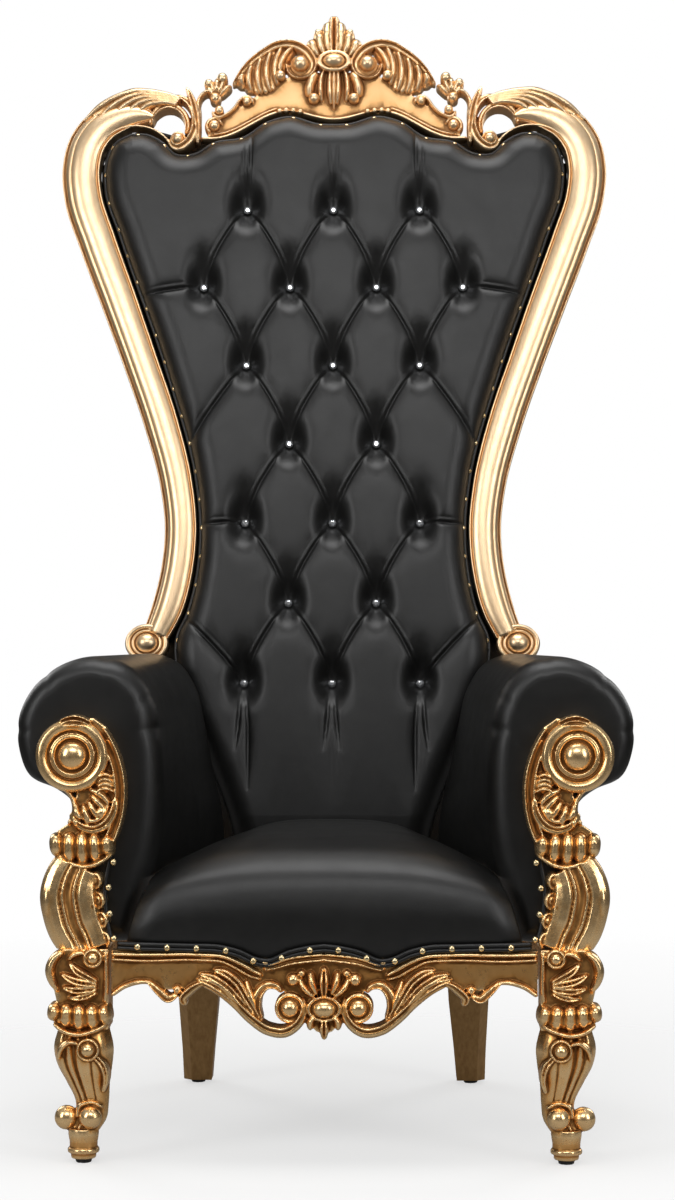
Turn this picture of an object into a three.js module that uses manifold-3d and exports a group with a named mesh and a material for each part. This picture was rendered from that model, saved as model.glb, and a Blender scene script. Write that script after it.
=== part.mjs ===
// A carved high-back throne: gilded frame, black tufted back, rolled arms and a crowned seat.
// Millimetres, +Z up, the sitter looks towards -Y. The origin is on the floor, under the middle.
import * as THREE from 'three';
import { mergeVertices } from 'three/addons/utils/BufferGeometryUtils.js';
import Module from 'manifold-3d';

const wasm = await Module();
wasm.setup();

// ---------------------------------------------------------------- driving dimensions
const BACK_LEAN = THREE.MathUtils.degToRad(8); // the back leans this far from upright
const BACK_FOOT = { y: 130, z: 450 };          // where the back's face plane meets the seat
const GAP = 0.4;                               // clearance kept between touching pieces

// Depths in the back's own plane, positive towards the sitter.
const BACK_REAR = -34;    // rear face of the gilded back frame
const STILE_RISE = 8;     // highest line of the stile's face
const CREST_BOARD = -12;  // face of the crest's plain board
const PAD_FULL = 30;      // crown of the tufted pad
const PAD_CREASE = 2;     // bottom of its creases
const PAD_EDGE = -12;     // the pad where it meets the frame

// Heights of the seat and the legs.
const RAIL_TOP = 314;
const SEAT_BOTTOM = 322;
const SEAT_CROWN = 474;
const GLIDE_HEIGHT = 6;
const SEAT_CLEAR = 9;      // from the seat to the arms beside it

// Planes across the front, world Y.
const ARM_FACE = -352;
const ARM_BACK = -330;
const APRON_FACE = -372;
const APRON_BACK = -346;
const ARM_REAR = 106;     // rear end of the arms at seat height

// Tufting: diamonds with a button at each corner.
const BUTTON_PITCH = 145;
const BUTTON_ROW = 133.8;
const LOWEST_BUTTONS = 239;
const BUTTON_ROWS = 7;
const BEHIND_SEAT = 50;   // below this height up the slope the pad is hidden and thinner

const GOLD = { color: 0xd9ab5c, roughness: 0.3, metalness: 0.9 };
const BRONZE = { color: 0x6b4a26, roughness: 0.45, metalness: 0.6 };
const LEATHER = { color: 0x101011, roughness: 0.38, metalness: 0.0 };
const CRYSTAL = { color: 0xe8ecf2, roughness: 0.05, metalness: 0.1 };
const GLIDE = { color: 0x141414, roughness: 0.6, metalness: 0.0 };

// ---------------------------------------------------------------- closed solids
function bare(geometry) {
  const plain = geometry.clone();
  plain.deleteAttribute('normal');
  plain.deleteAttribute('uv');
  return mergeVertices(plain, 1e-3);
}

function signedVolume(geometry) {
  const p = geometry.attributes.position;
  const index = geometry.index.array;
  const [a, b, c] = [new THREE.Vector3(), new THREE.Vector3(), new THREE.Vector3()];
  let volume = 0;
  for (let i = 0; i < index.length; i += 3) {
    a.fromBufferAttribute(p, index[i]);
    b.fromBufferAttribute(p, index[i + 1]);
    c.fromBufferAttribute(p, index[i + 2]);
    volume += a.dot(b.cross(c)) / 6;
  }
  return volume;
}

function turnInsideOut(geometry) {
  const index = geometry.index.array;
  for (let i = 0; i < index.length; i += 3) {
    [index[i], index[i + 1]] = [index[i + 1], index[i]];
  }
  return geometry;
}

function outward(geometry) {
  const plain = bare(geometry);
  return signedVolume(plain) < 0 ? turnInsideOut(plain) : plain;
}

function toSolid(geometry) {
  const closed = outward(geometry);
  return new wasm.Manifold(new wasm.Mesh({
    numProp: 3,
    vertProperties: new Float32Array(closed.attributes.position.array),
    triVerts: new Uint32Array(closed.index.array),
  }));
}

function toGeometry(solid) {
  const mesh = solid.getMesh();
  const geometry = new THREE.BufferGeometry();
  geometry.setAttribute('position', new THREE.BufferAttribute(mesh.vertProperties, 3));
  geometry.setIndex(new THREE.BufferAttribute(mesh.triVerts, 1));
  geometry.computeVertexNormals();
  return geometry;
}

function join(geometries) {
  return geometries.map(toSolid).reduce((whole, piece) => whole.add(piece));
}

function mirrored(geometry) {
  return outward(geometry.clone().scale(-1, 1, 1));
}

function withMirror(geometries) {
  return [...geometries, ...geometries.map(mirrored)];
}

// A box given by its lowest and highest corner.
function boxBetween(low, high) {
  const size = high.map((value, i) => value - low[i]);
  const box = new THREE.BoxGeometry(...size);
  return box.translate(...low.map((value, i) => value + size[i] / 2));
}

// Triangles over one flat ring of points, whatever its outline.
function capIndices(ring) {
  const normal = new THREE.Vector3();
  ring.forEach((p, i) => {
    const q = ring[(i + 1) % ring.length];
    normal.add(new THREE.Vector3().crossVectors(p, q));
  });
  normal.normalize();
  const along = new THREE.Vector3().subVectors(ring[1], ring[0]);
  along.addScaledVector(normal, -along.dot(normal)).normalize();
  const up = new THREE.Vector3().crossVectors(normal, along);
  const flat = ring.map((p) => new THREE.Vector2(p.dot(along), p.dot(up)));
  return THREE.ShapeUtils.triangulateShape(flat, []);
}

// A skin through rings of points that all have the same count, closed at both ends.
function loft(rings) {
  const count = rings[0].length;
  const positions = rings.flat().flatMap((p) => [p.x, p.y, p.z]);
  const index = [];
  for (let r = 0; r + 1 < rings.length; r += 1) {
    for (let i = 0; i < count; i += 1) {
      const j = (i + 1) % count;
      const [a, b] = [r * count + i, r * count + j];
      index.push(a, b, b + count, a, b + count, a + count);
    }
  }
  const lastRing = (rings.length - 1) * count;
  capIndices(rings[0]).forEach(([a, b, c]) => index.push(a, c, b));
  capIndices(rings.at(-1)).forEach(([a, b, c]) => index.push(a + lastRing, b + lastRing, c + lastRing));
  const geometry = new THREE.BufferGeometry();
  geometry.setAttribute('position', new THREE.Float32BufferAttribute(positions, 3));
  geometry.setIndex(index);
  return geometry;
}

function between(values, t) {
  const place = THREE.MathUtils.clamp(t, 0, 1) * (values.length - 1);
  const i = Math.min(Math.floor(place), values.length - 2);
  return THREE.MathUtils.lerp(values[i], values[i + 1], place - i);
}

// The value at x of a broken line through [x, value] points that go up in x.
function lineAt(points, x) {
  const next = points.findIndex(([at]) => at >= x);
  if (next === 0) return points[0][1];
  if (next < 0) return points.at(-1)[1];
  const [[x0, v0], [x1, v1]] = [points[next - 1], points[next]];
  return THREE.MathUtils.mapLinear(x, x0, x1, v0, v1);
}

// ---------------------------------------------------------------- carving
// Crest sections of a carved strip: [across, rise], the flat back is added behind them.
const PLAIN = [[-0.5, 1], [0.5, 1]];
const LEAF = [[-0.6, 1], [0, 0.5], [0.6, 1]];
const LOBES = [[-0.78, 0.85], [-0.4, 0.5], [0, 1], [0.4, 0.5], [0.78, 0.85]];
const FLUTED = [[-0.55, 1], [-0.3, 0.6], [0.3, 0.6], [0.55, 1]];
const STILE = [[-0.9, 0.85], [0, 1], [0.7, 0.7], [0.85, 0.3]];

// A strip swept along a spline through [x, z, width, height] stations. Height is measured
// from `base`, a depth towards the front, and the flat back lies at depth `back`.
function strip(stations, { back, base, section = PLAIN }) {
  const points = stations.map(([x, z]) => new THREE.Vector3(x, 0, z));
  const spine = new THREE.CatmullRomCurve3(points, false, 'centripetal');
  const widths = stations.map((station) => station[2]);
  const heights = stations.map((station) => station[3]);
  const count = stations.length - 1;
  const rings = [];
  for (let i = 0; i <= count; i += 1) {
    const t = i / count;
    const centre = spine.getPoint(t);
    const along = spine.getTangent(t);
    const half = between(widths, t) / 2;
    const rise = between(heights, t);
    const crest = [[-1, null], ...section, [1, null]];
    rings.push(crest.map(([across, up]) => new THREE.Vector3(
      centre.x + along.z * across * half,
      up === null ? -back : -(base + up * rise),
      centre.z - along.x * across * half,
    )));
  }
  return loft(rings);
}

// A turned knob or set of rings facing the front: [radius, depth] from the rim to the middle.
function boss([x, z], profile, { back, sides = 8, squash = 1 }) {
  const rim = profile[0][0];
  const points = [[0, back], [rim, back], ...profile].map(([r, d]) => new THREE.Vector2(r, d));
  const turned = new THREE.LatheGeometry(points, sides);
  return turned.rotateX(Math.PI).scale(1, 1, squash).translate(x, 0, z);
}

function pearl(centre, radius, rise, back) {
  const profile = [[radius, rise - radius * 0.7], [radius * 0.6, rise]];
  return boss(centre, profile.concat([[0, rise]]), { back, sides: 5 });
}

// A flat board from an outline of [x, z] points, between two depths.
function board(outline, back, face) {
  const shape = new THREE.Shape(outline.map(([x, z]) => new THREE.Vector2(x, z)));
  const plate = new THREE.ExtrudeGeometry(shape, { depth: face - back, bevelEnabled: false });
  return plate.rotateX(Math.PI / 2).translate(0, -back, 0);
}

function smoothLine(points, steps) {
  const curve = new THREE.SplineCurve(points.map(([x, z]) => new THREE.Vector2(x, z)));
  return curve.getPoints(steps).map((p) => [p.x, p.y]);
}

// ---------------------------------------------------------------- back frame
// All the back's pieces are drawn in its own plane: x across, z up the slope, depth to the front.
const STILE_LINE = [ // centre line and width of the stile, from the volute to the shoulder
  [292, 322, 44, 9], [275, 362, 52, 10], [258, 432, 54, 12], [253, 504, 54, 12], [261, 575, 55, 12],
  [288, 680, 58, 13], [324, 785, 59, 13], [399, 991, 64, 14],
  [424, 1068, 65, 14], [428, 1120, 65, 14], [418, 1163, 64, 14], [394, 1194, 62, 13],
  [362, 1211, 60, 12], [322, 1217, 60, 11], [288, 1205, 52, 10], [268, 1190, 34, 8],
];

function stileGeometry() {
  const carved = { back: BACK_REAR + 4, base: -6 };
  const pieces = [
    strip(STILE_LINE, { back: BACK_REAR, base: STILE_RISE - 15, section: STILE }),
    // volute at the foot of the stile
    boss([307, 307], [[36, 2], [26, 3], [16, -3], [12, 9], [0, 12]], {
      back: BACK_REAR + 2, sides: 9, squash: 0.86,
    }),
    // C-scroll of the shoulder with its pearl
    strip([[290, 1244, 8, 10], [254, 1227, 13, 14], [241, 1186, 14, 14], [253, 1157, 12, 13],
      [271, 1158, 9, 10]], carved),
    pearl([265, 1171], 11, 8, BACK_REAR + 6),
    strip([[309, 1196, 6, 8], [305, 1221, 13, 12], [280, 1230, 12, 13], [258, 1215, 6, 8]], carved),
    // leaf that flows along the top of the shoulder
    strip([[262, 1237, 14, 12], [304, 1237, 42, 17], [364, 1229, 42, 18], [426, 1205, 8, 8]], {
      ...carved, section: LEAF,
    }),
    // upright acanthus beside the crest
    strip([[251, 1259, 6, 8], [242, 1236, 16, 16], [236, 1190, 15, 17], [248, 1154, 6, 8]], carved),
  ];
  return join(pieces);
}

// The crest's lower edge is a cupid's bow: it swells from the middle up to a cusp, then falls to its end.
const CREST_MIDDLE = 1200;
const CREST_CUSP = [78, 1214];
const CREST_END = [206, 1166.5];
const CREST_WIDE = 214;

function halfWave(from, to, share) {
  return from + (to - from) * (1 - Math.cos(Math.PI * share)) / 2;
}

function crestEdge(across) {
  const [cusp, top] = CREST_CUSP;
  const [end, low] = CREST_END;
  if (across <= cusp) return halfWave(CREST_MIDDLE, top, across / cusp);
  return halfWave(top, low, Math.min(1, (across - cusp) / (end - cusp)));
}

const CREST_BOTTOM = Array.from({ length: 11 }, (_, i) => {
  const across = CREST_WIDE * i / 10;
  return [across, crestEdge(across)];
});
const CREST_TOP = [[214, 1188], [190, 1203], [166, 1222], [140, 1240], [112, 1262], [70, 1283], [0, 1290]];

function crestStrokes() {
  const carved = { back: BACK_REAR + 4, base: CREST_BOARD - 4 };
  const stroke = (stations, section = PLAIN) => strip(stations, { ...carved, section });
  return [
    // large C-scroll round its ball
    stroke([[72, 1289, 9, 12], [57, 1279, 12, 15], [41, 1287, 14, 17], [38, 1308, 18, 19],
      [52, 1329, 20, 22], [84, 1334, 20, 22], [124, 1313, 20, 21], [155, 1274, 17, 17],
      [176, 1256, 9, 12]]),
    boss([57, 1299], [[16, -6], [12, 10], [0, 15]], { back: BACK_REAR + 4, sides: 7 }),
    // leaves that hang from the scroll
    stroke([[80, 1331, 10, 17], [103, 1312, 15, 19], [95, 1284, 12, 15]]),
    stroke([[98, 1330, 20, 16], [124, 1303, 44, 21], [127, 1274, 44, 18], [118, 1246, 16, 9]], LEAF),
    // S-scroll at the end of the board, with its pearl
    stroke([[148, 1248, 7, 9], [164, 1243, 9, 12], [188, 1210, 10, 13], [208, 1226, 8, 10]]),
    pearl([197, 1221], 8, 4, BACK_REAR + 4),
    // loop and knobs next to the shoulder
    stroke([[222, 1190, 12, 12], [222, 1230, 13, 15], [194, 1248, 16, 15]]),
    stroke([[202, 1246, 34, 14], [202, 1264, 42, 17], [202, 1280, 30, 10]], LEAF),
    // lower pearl in its curl
    stroke([[216, 1170, 9, 9], [217, 1198, 11, 12], [195, 1203, 8, 10]]),
    pearl([201, 1192], 10, 5, BACK_REAR + 4),
  ];
}

function finialStrokes() {
  const carved = { back: BACK_REAR + 4, base: CREST_BOARD - 4, section: LOBES };
  return [
    // shell above the cabochon
    strip([[0, 1314, 44, 14], [0, 1341, 88, 20], [0, 1366, 46, 21], [0, 1389, 14, 12]], carved),
    // skirt below it
    strip([[0, 1290, 34, 12], [0, 1250, 84, 19], [0, 1221, 16, 9]], carved),
    boss([0, 1302], [[27, 4], [19, 7], [14, 13], [0, 16]], {
      back: BACK_REAR + 4, sides: 8, squash: 0.8,
    }),
  ];
}

function crestGeometry() {
  const plate = board([...CREST_BOTTOM, ...CREST_TOP], BACK_REAR, CREST_BOARD);
  return join([...withMirror([plate, ...crestStrokes()]), ...finialStrokes()]);
}

// The crest and each stile meet on one upright joint.
const CREST_JOINT = 229;

const FAR = 3000;

function keepInside(solid, low, high) {
  return solid.intersect(toSolid(boxBetween(low, high)));
}

// ---------------------------------------------------------------- tufted back pad
const PAD_SIDE = [ // half width of the pad at heights up the slope
  [-126, 150], [0, 165], [110, 205], [200, 243], [262, 258], [318, 258], [355, 242],
  [430, 225], [500, 221], [580, 229], [765, 280], [992, 359], [1080, 387], [1125, 387],
  [1163, 370], [1177, 345],
];
const PAD_TOP = [[345, 1177], [318, 1177], [290, 1163], [267, 1142], [238, 1142], [203, 1162],
  [154, 1171], [112, 1198], [78, 1207], [24, 1194], [0, 1193]];

function padOutline() {
  const side = PAD_SIDE.map(([z, x]) => [x, z]);
  const right = [...side, ...PAD_TOP.slice(1)];
  const left = right.slice(0, -1).reverse().map(([x, z]) => [-x, z]);
  return [...right, ...left];
}

function buttonPlaces() {
  const places = [];
  for (let row = 0; row < BUTTON_ROWS; row += 1) {
    const z = LOWEST_BUTTONS + row * BUTTON_ROW;
    const offsets = row % 2 === 0 ? [-1, 0, 1] : [-0.5, 0.5];
    const widest = row === BUTTON_ROWS - 2 ? [-1.5, ...offsets, 1.5] : offsets;
    widest.forEach((k) => places.push([k * BUTTON_PITCH, z]));
  }
  return places;
}

// How full the padding is at a place: 0 in a crease or under a button, 1 at a crown.
function padFullness(x, z) {
  const u = x / BUTTON_PITCH;
  const w = (z - LOWEST_BUTTONS) / (2 * BUTTON_ROW);
  const toCrease = (value) => Math.abs(value - Math.round(value));
  const crease = Math.min(toCrease(u + w), toCrease(u - w)) * 2;
  const tufted = w > -0.08 && w < BUTTON_ROWS / 2 - 0.4 && Math.abs(x) < BUTTON_PITCH * 1.6;
  const plain = z < BEHIND_SEAT ? 0.4 : 0.8;
  return tufted ? Math.sqrt(crease) : plain;
}

// A cut crystal with a pointed back that sits in the bottom of a tuft.
function buttonGeometry(x, z) {
  const seat = PAD_CREASE + GAP;
  const profile = [[0, seat], [7.5, seat + 6.5], [5, seat + 10], [0, seat + 11]];
  const crystal = new THREE.LatheGeometry(profile.map(([r, d]) => new THREE.Vector2(r, d)), 4);
  return crystal.rotateX(Math.PI).translate(x, 0, z);
}

function edgeDistance(outline, x, z) {
  const place = new THREE.Vector3(x, z, 0);
  const nearest = new THREE.Vector3();
  const distances = outline.map((p, i) => {
    const q = outline[(i + 1) % outline.length];
    const edge = new THREE.Line3(new THREE.Vector3(...p, 0), new THREE.Vector3(...q, 0));
    edge.closestPointToPoint(place, true, nearest);
    return nearest.distanceTo(place);
  });
  return Math.min(...distances);
}

// The face is a net whose knots fall on the creases, wider spaced towards the edges.
function padColumns() {
  const fine = Array.from({ length: 17 }, (_, i) => (i - 8) * BUTTON_PITCH / 4);
  return [-400, -345, ...fine, 345, 400];
}

function padRows() {
  const fine = Array.from({ length: 2 * BUTTON_ROWS }, (_, i) => LOWEST_BUTTONS + i * BUTTON_ROW / 2);
  return [-128, 45, 140, ...fine, 1150, 1215];
}

function padDepth(outline, x, z) {
  const rounding = Math.min(1, edgeDistance(outline, x, z) / 55);
  const depth = THREE.MathUtils.lerp(PAD_CREASE, PAD_FULL, padFullness(x, z));
  return THREE.MathUtils.lerp(PAD_EDGE, depth, Math.sqrt(rounding));
}

function backPadGeometry() {
  const outline = padOutline();
  const columns = padColumns();
  const rows = padRows();
  const onRim = (list, value) => value === list[0] || value === list.at(-1);
  const depthAt = (x, z) => (onRim(columns, x) || onRim(rows, z) ? PAD_EDGE : padDepth(outline, x, z));
  const rings = rows.map((z) => [
    ...columns.map((x) => new THREE.Vector3(x, -depthAt(x, z), z)),
    new THREE.Vector3(columns.at(-1), -BACK_REAR, z),
    new THREE.Vector3(columns[0], -BACK_REAR, z),
  ]);
  return toSolid(loft(rings)).intersect(toSolid(board(outline, BACK_REAR, PAD_FULL + 10)));
}

function outsideBackOutline() {
  const right = [[232, -126], [262, 60], [284, 200], [284, 262], [258, 318], [243, 400], [238, 500],
    [246, 580], [262, 660], [300, 780], [352, 920], [392, 1040], [402, 1110], [384, 1160],
    [330, 1190], [240, 1176], [120, 1206], [0, 1206]];
  const left = right.slice(0, -1).reverse().map(([x, z]) => [-x, z]);
  return [...right, ...left];
}

// ---------------------------------------------------------------- arms
const ARM_SECTION_FRONT = [ // across the arm just behind its carved front, inner foot first
  [292, 318], [267, 400], [248, 480], [243, 550], [247, 625], [262, 690], [296, 729], [340, 742],
  [392, 731], [434, 700], [459, 652], [459, 604], [441, 562], [405, 546], [383, 530], [377, 430],
  [382, 318],
];
const ARM_SECTION_REAR = [
  [166, 318], [167, 400], [174, 480], [190, 550], [204, 620], [220, 682], [248, 722], [288, 737],
  [335, 729], [378, 700], [403, 655], [401, 605], [384, 568], [350, 550], [326, 534], [306, 430],
  [292, 318],
];

function armSection(t, inset) {
  return ARM_SECTION_FRONT.map(([x0, z0], i) => {
    const [x1, z1] = ARM_SECTION_REAR[i];
    const x = THREE.MathUtils.lerp(x0, x1, t);
    const z = THREE.MathUtils.lerp(z0, z1, t);
    const towards = new THREE.Vector2(340 - 60 * t - x, 620 - z).setLength(inset);
    const atFoot = z < 330;
    return [x + towards.x, atFoot ? z : z + towards.y];
  });
}

function armPadGeometry() {
  const stations = [[0, 14], [0.03, 3], [0.12, 0], [0.93, 0], [1, 12]];
  const rings = stations.map(([t, inset]) => armSection(t, inset).map(([x, z]) => {
    const rear = ARM_REAR + (z - BACK_FOOT.z) * Math.tan(BACK_LEAN);
    const y = THREE.MathUtils.lerp(ARM_BACK + GAP, rear, t);
    return new THREE.Vector3(x, y, z);
  }));
  return loft(rings);
}

// Face of the arm towards the sitter, as far from the middle as it is at height z and depth t.
function armInnerFace(z, t) {
  const front = ARM_SECTION_FRONT.slice(0, 4).map(([x, height]) => [height, x]);
  const rear = ARM_SECTION_REAR.slice(0, 4).map(([x, height]) => [height, x]);
  return THREE.MathUtils.lerp(lineAt(front, z), lineAt(rear, z), t);
}

// The arm front's inner edge is one arc, that bows towards the seat and ends at the corner by the roll.
const PANEL_ARC = { centre: [456, 542], radius: 166, from: 214, to: 144.5 };
const PANEL_TOP = [340, 652];

function arcPoints({ centre, radius, from, to }, count) {
  return Array.from({ length: count }, (_, i) => {
    const turn = THREE.MathUtils.degToRad(from + (to - from) * i / (count - 1));
    return [centre[0] + radius * Math.cos(turn), centre[1] + radius * Math.sin(turn)];
  });
}

const PANEL_INNER = [...arcPoints(PANEL_ARC, 8), PANEL_TOP];
const PANEL_OUTER = [[382, 549], [364, 543], [365, 520], [374, 498], [392, 486], [398, 470], [394, 449]];

function armFrontGeometry() {
  const face = -ARM_FACE;
  const back = -ARM_BACK;
  const carved = { back: back + 4, base: face - 4 };
  const stroke = (stations) => strip(stations, carved);
  const volute = [370, 597];
  const outline = [...PANEL_INNER, [370, 640], [410, 600], ...PANEL_OUTER];
  const pieces = [
    board(outline, back, face),
    boss(volute, [[51, face + 5], [41, face + 8], [36, face + 1], [27, face + 7], [18, face + 15],
      [0, face + 18]], { back, sides: 10 }),
    // small shell where the rim springs from the volute
    stroke([[344, 649, 8, 10], [361, 654, 14, 14], [378, 649, 8, 10]]),
    // rim along the upholstery
    stroke([[332, 650, 9, 10], [312, 628, 10, 11], [297, 585, 10, 11], [292, 540, 10, 11],
      [297, 506, 10, 11], [320, 450, 9, 10]]),
    // C-scroll leaf below the volute
    stroke([[352, 552, 9, 10], [333, 542, 16, 15], [328, 508, 15, 14], [352, 481, 18, 15],
      [388, 488, 7, 8]]),
    pearl([347, 540], 11, face + 12, back),
    pearl([329, 513], 9, face + 13, back),
    // lobed cuff between the panel and the post
    strip([[357, 486, 60, 8], [356, 470, 82, 18], [354, 450, 84, 18], [352, 432, 56, 9]], {
      ...carved, section: LOBES,
    }),
    // fluted post down to the seat rail
    strip([[354, RAIL_TOP - 2, 76, 20], [367, 348, 84, 24], [374, 376, 86, 25], [374, 398, 84, 25],
      [362, 436, 72, 22]], {
      back, base: face - 6, section: FLUTED,
    }),
    stroke([[400, 418, 8, 10], [409, 398, 14, 18], [403, 376, 16, 19], [392, 362, 8, 12]]),
  ];
  return join(pieces);
}

// ---------------------------------------------------------------- front legs
const LEG_STATIONS = [ // height, inner x, outer x, front y, rear y
  [46, 333, 375, -364, -326], [62, 321, 368, -361, -320], [92, 317, 366, -361, -317],
  [118, 315, 379, -369, -314], [144, 311, 392, -379, -310], [170, 309, 397, -383, -307],
  [198, 316, 390, -376, -305],
];

function legSection([z, inner, outer, front, rear]) {
  const middle = (inner + outer) / 2;
  const half = (outer - inner) / 2;
  const deep = rear - front;
  const section = [[-1, 0.3], [-0.7, 0.02], [0.05, 0], [0.2, 0.1], [0.42, 0.02], [0.55, 0.14],
    [0.8, 0.12], [1, 0.45], [0.85, 1], [-0.85, 1]];
  return section.map(([across, back]) => new THREE.Vector3(
    middle + across * half,
    front + back * deep,
    z,
  ));
}

function frontLegGeometry() {
  const face = 378;
  const back = 302;
  const carved = { back: face - 30, base: face - 8 };
  const stroke = (stations) => strip(stations, carved);
  const block = [[315, 200], [315, RAIL_TOP + 2], [386, RAIL_TOP + 2], [400, 297], [405, 281],
    [396, 262], [391, 240], [399, 224], [388, 198]];
  const plug = [[0, GLIDE_HEIGHT + GAP], [18, GLIDE_HEIGHT + GAP], [23, 16], [21, 23], [22, 48],
    [0, 48]];
  const plugSolid = new THREE.LatheGeometry(plug.map(([r, z]) => new THREE.Vector2(r, z)), 8);
  const ball = (x, y, z, radius) => new THREE.SphereGeometry(radius, 6, 4).translate(x, y, z);
  const pieces = [
    loft(LEG_STATIONS.map(legSection)),
    board(block, back, face - 6),
    // lobed cuff and the fan of leaves on the block
    strip([[362, 239, 66, 9], [361, 224, 84, 18], [358, 207, 74, 16], [355, 196, 52, 9]], {
      ...carved, section: LOBES,
    }),
    strip([[332, 262, 34, 7], [350, 267, 46, 14], [374, 262, 28, 7]], { ...carved, section: LEAF }),
    pearl([337, 303], 13, face + 6, face - 30),
    boss([344, 171], [[16, face + 4], [11, face + 12], [0, face + 15]], { back: face - 30 }),
    plugSolid.rotateX(Math.PI / 2).translate(354, -345, 0),
    ball(342, -361, 68, 19),
    ball(380, -343, 65, 19),
    ball(349, -330, 62, 17),
  ];
  return join(pieces);
}

// ---------------------------------------------------------------- front rail (apron)
const APRON_TOP = [[0, 311], [24, 308], [50, 302], [84, 288], [101, 292], [123, 302], [150, 310],
  [200, 312], [311, 314]];
const APRON_EDGE = [[311, 250], [290, 263], [248, 266], [228, 256], [205, 258], [178, 266],
  [152, 252], [102, 213]];
const APRON_MIDDLE = [[97, 226], [94, 250], [82, 262], [66, 257], [45, 250], [28, 215], [12, 196], [0, 192]];

function apronStrokes() {
  const carved = { back: -APRON_BACK + 2, base: -APRON_FACE - 4 };
  const stroke = (stations, section = PLAIN) => strip(stations, { ...carved, section });
  return [
    // top moulding, its end curling down to the middle
    stroke([[311, 306, 12, 12], [200, 304, 12, 12], [145, 301, 12, 12], [106, 284, 12, 13],
      [88, 273, 6, 8]]),
    stroke([[92, 282, 6, 8], [62, 293, 11, 13], [28, 301, 12, 13], [-3, 304, 12, 13]]),
    // lower rim of the great leaf
    stroke([[32, 246, 8, 12], [31, 221, 14, 16], [53, 198, 17, 19], [84, 201, 18, 20],
      [126, 234, 17, 18], [178, 263, 8, 9]]),
    // curl round the crescent opening
    stroke([[91, 212, 9, 14], [99, 246, 16, 19], [61, 259, 7, 10]]),
    boss([51, 230], [[22, -APRON_FACE + 5], [15, -APRON_FACE + 9], [9, -APRON_FACE + 16],
      [0, -APRON_FACE + 17]], { back: -APRON_BACK, sides: 8 }),
    // leaf that sweeps outward
    stroke([[98, 216, 20, 12], [118, 247, 42, 17], [146, 268, 40, 16], [182, 277, 12, 8]], LEAF),
    // rolled leaves on the lower edge
    stroke([[256, 268, 7, 8], [236, 250, 15, 15], [214, 252, 8, 9]]),
    stroke([[172, 266, 7, 8], [198, 254, 15, 15], [201, 236, 8, 9]]),
    pearl([43, 273], 10, -APRON_FACE + 11, -APRON_BACK),
  ];
}

function apronGeometry() {
  const carved = { back: -APRON_BACK + 2, base: -APRON_FACE - 4, section: LOBES };
  const plate = board([...APRON_TOP, ...APRON_EDGE, ...APRON_MIDDLE], -APRON_BACK, -APRON_FACE - 2);
  const middle = [
    boss([0, 229], [[25, -APRON_FACE + 5], [17, -APRON_FACE + 10], [0, -APRON_FACE + 19]], {
      back: -APRON_BACK, sides: 8, squash: 0.72,
    }),
    // shell over the cabochon and the beard under it
    strip([[0, 240, 44, 14], [0, 267, 72, 19], [0, 291, 14, 8]], carved),
    strip([[0, 220, 50, 12], [0, 201, 52, 16], [0, 184, 10, 7]], carved),
  ];
  return join([...withMirror([plate, ...apronStrokes()]), ...middle]);
}

// ---------------------------------------------------------------- plain rails and rear legs
const RAIL_FRONT = { x: 366, y: -300 };
const RAIL_REAR = { x: 258, y: 158 };

function sideRailGeometry() {
  const run = new THREE.Vector2(RAIL_REAR.x - RAIL_FRONT.x, RAIL_REAR.y - RAIL_FRONT.y);
  const length = run.length();
  const outline = [[0, RAIL_TOP], [length, RAIL_TOP], [length, 250], ...smoothLine([[length - 30, 244],
    [length * 0.72, 258], [length / 2, 232], [length * 0.28, 258], [30, 244]], 10), [0, 250]];
  const shape = new THREE.Shape(outline.map(([x, z]) => new THREE.Vector2(x, z)));
  const rail = new THREE.ExtrudeGeometry(shape, { depth: 28, bevelEnabled: false });
  const angle = Math.atan2(run.y, run.x);
  return rail.rotateX(Math.PI / 2).rotateZ(angle).translate(RAIL_FRONT.x, RAIL_FRONT.y, 0);
}

const REAR_LEG = [ // height, inner x, outer x, front y, rear y
  [GLIDE_HEIGHT + GAP, 209, 257, 322, 368], [60, 204, 258, 302, 352], [142, 195, 261, 264, 322],
  [220, 190, 264, 222, 286], [RAIL_TOP, 188, 264, 160, 234],
];

function rearLegGeometry() {
  const chamfer = 14;
  return loft(REAR_LEG.map(([z, inner, outer, front, rear]) => [
    new THREE.Vector3(inner, front, z),
    new THREE.Vector3(outer - chamfer, front, z),
    new THREE.Vector3(outer, front + chamfer, z),
    new THREE.Vector3(outer, rear, z),
    new THREE.Vector3(inner, rear, z),
  ]));
}

function glideGeometry(x, y) {
  const glide = new THREE.CylinderGeometry(13, 11, GLIDE_HEIGHT, 8);
  return glide.rotateX(Math.PI / 2).translate(x, y, GLIDE_HEIGHT / 2);
}

// ---------------------------------------------------------------- seat
const SEAT_PROFILE = [ // depth y and height z over the middle of the seat, from the front foot
  [-366, SEAT_BOTTOM], [-374, 345], [-374, 385], [-360, 425], [-325, 452], [-270, 467],
  [-180, SEAT_CROWN], [-20, 473], [90, 462], [100, 440],
];

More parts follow.
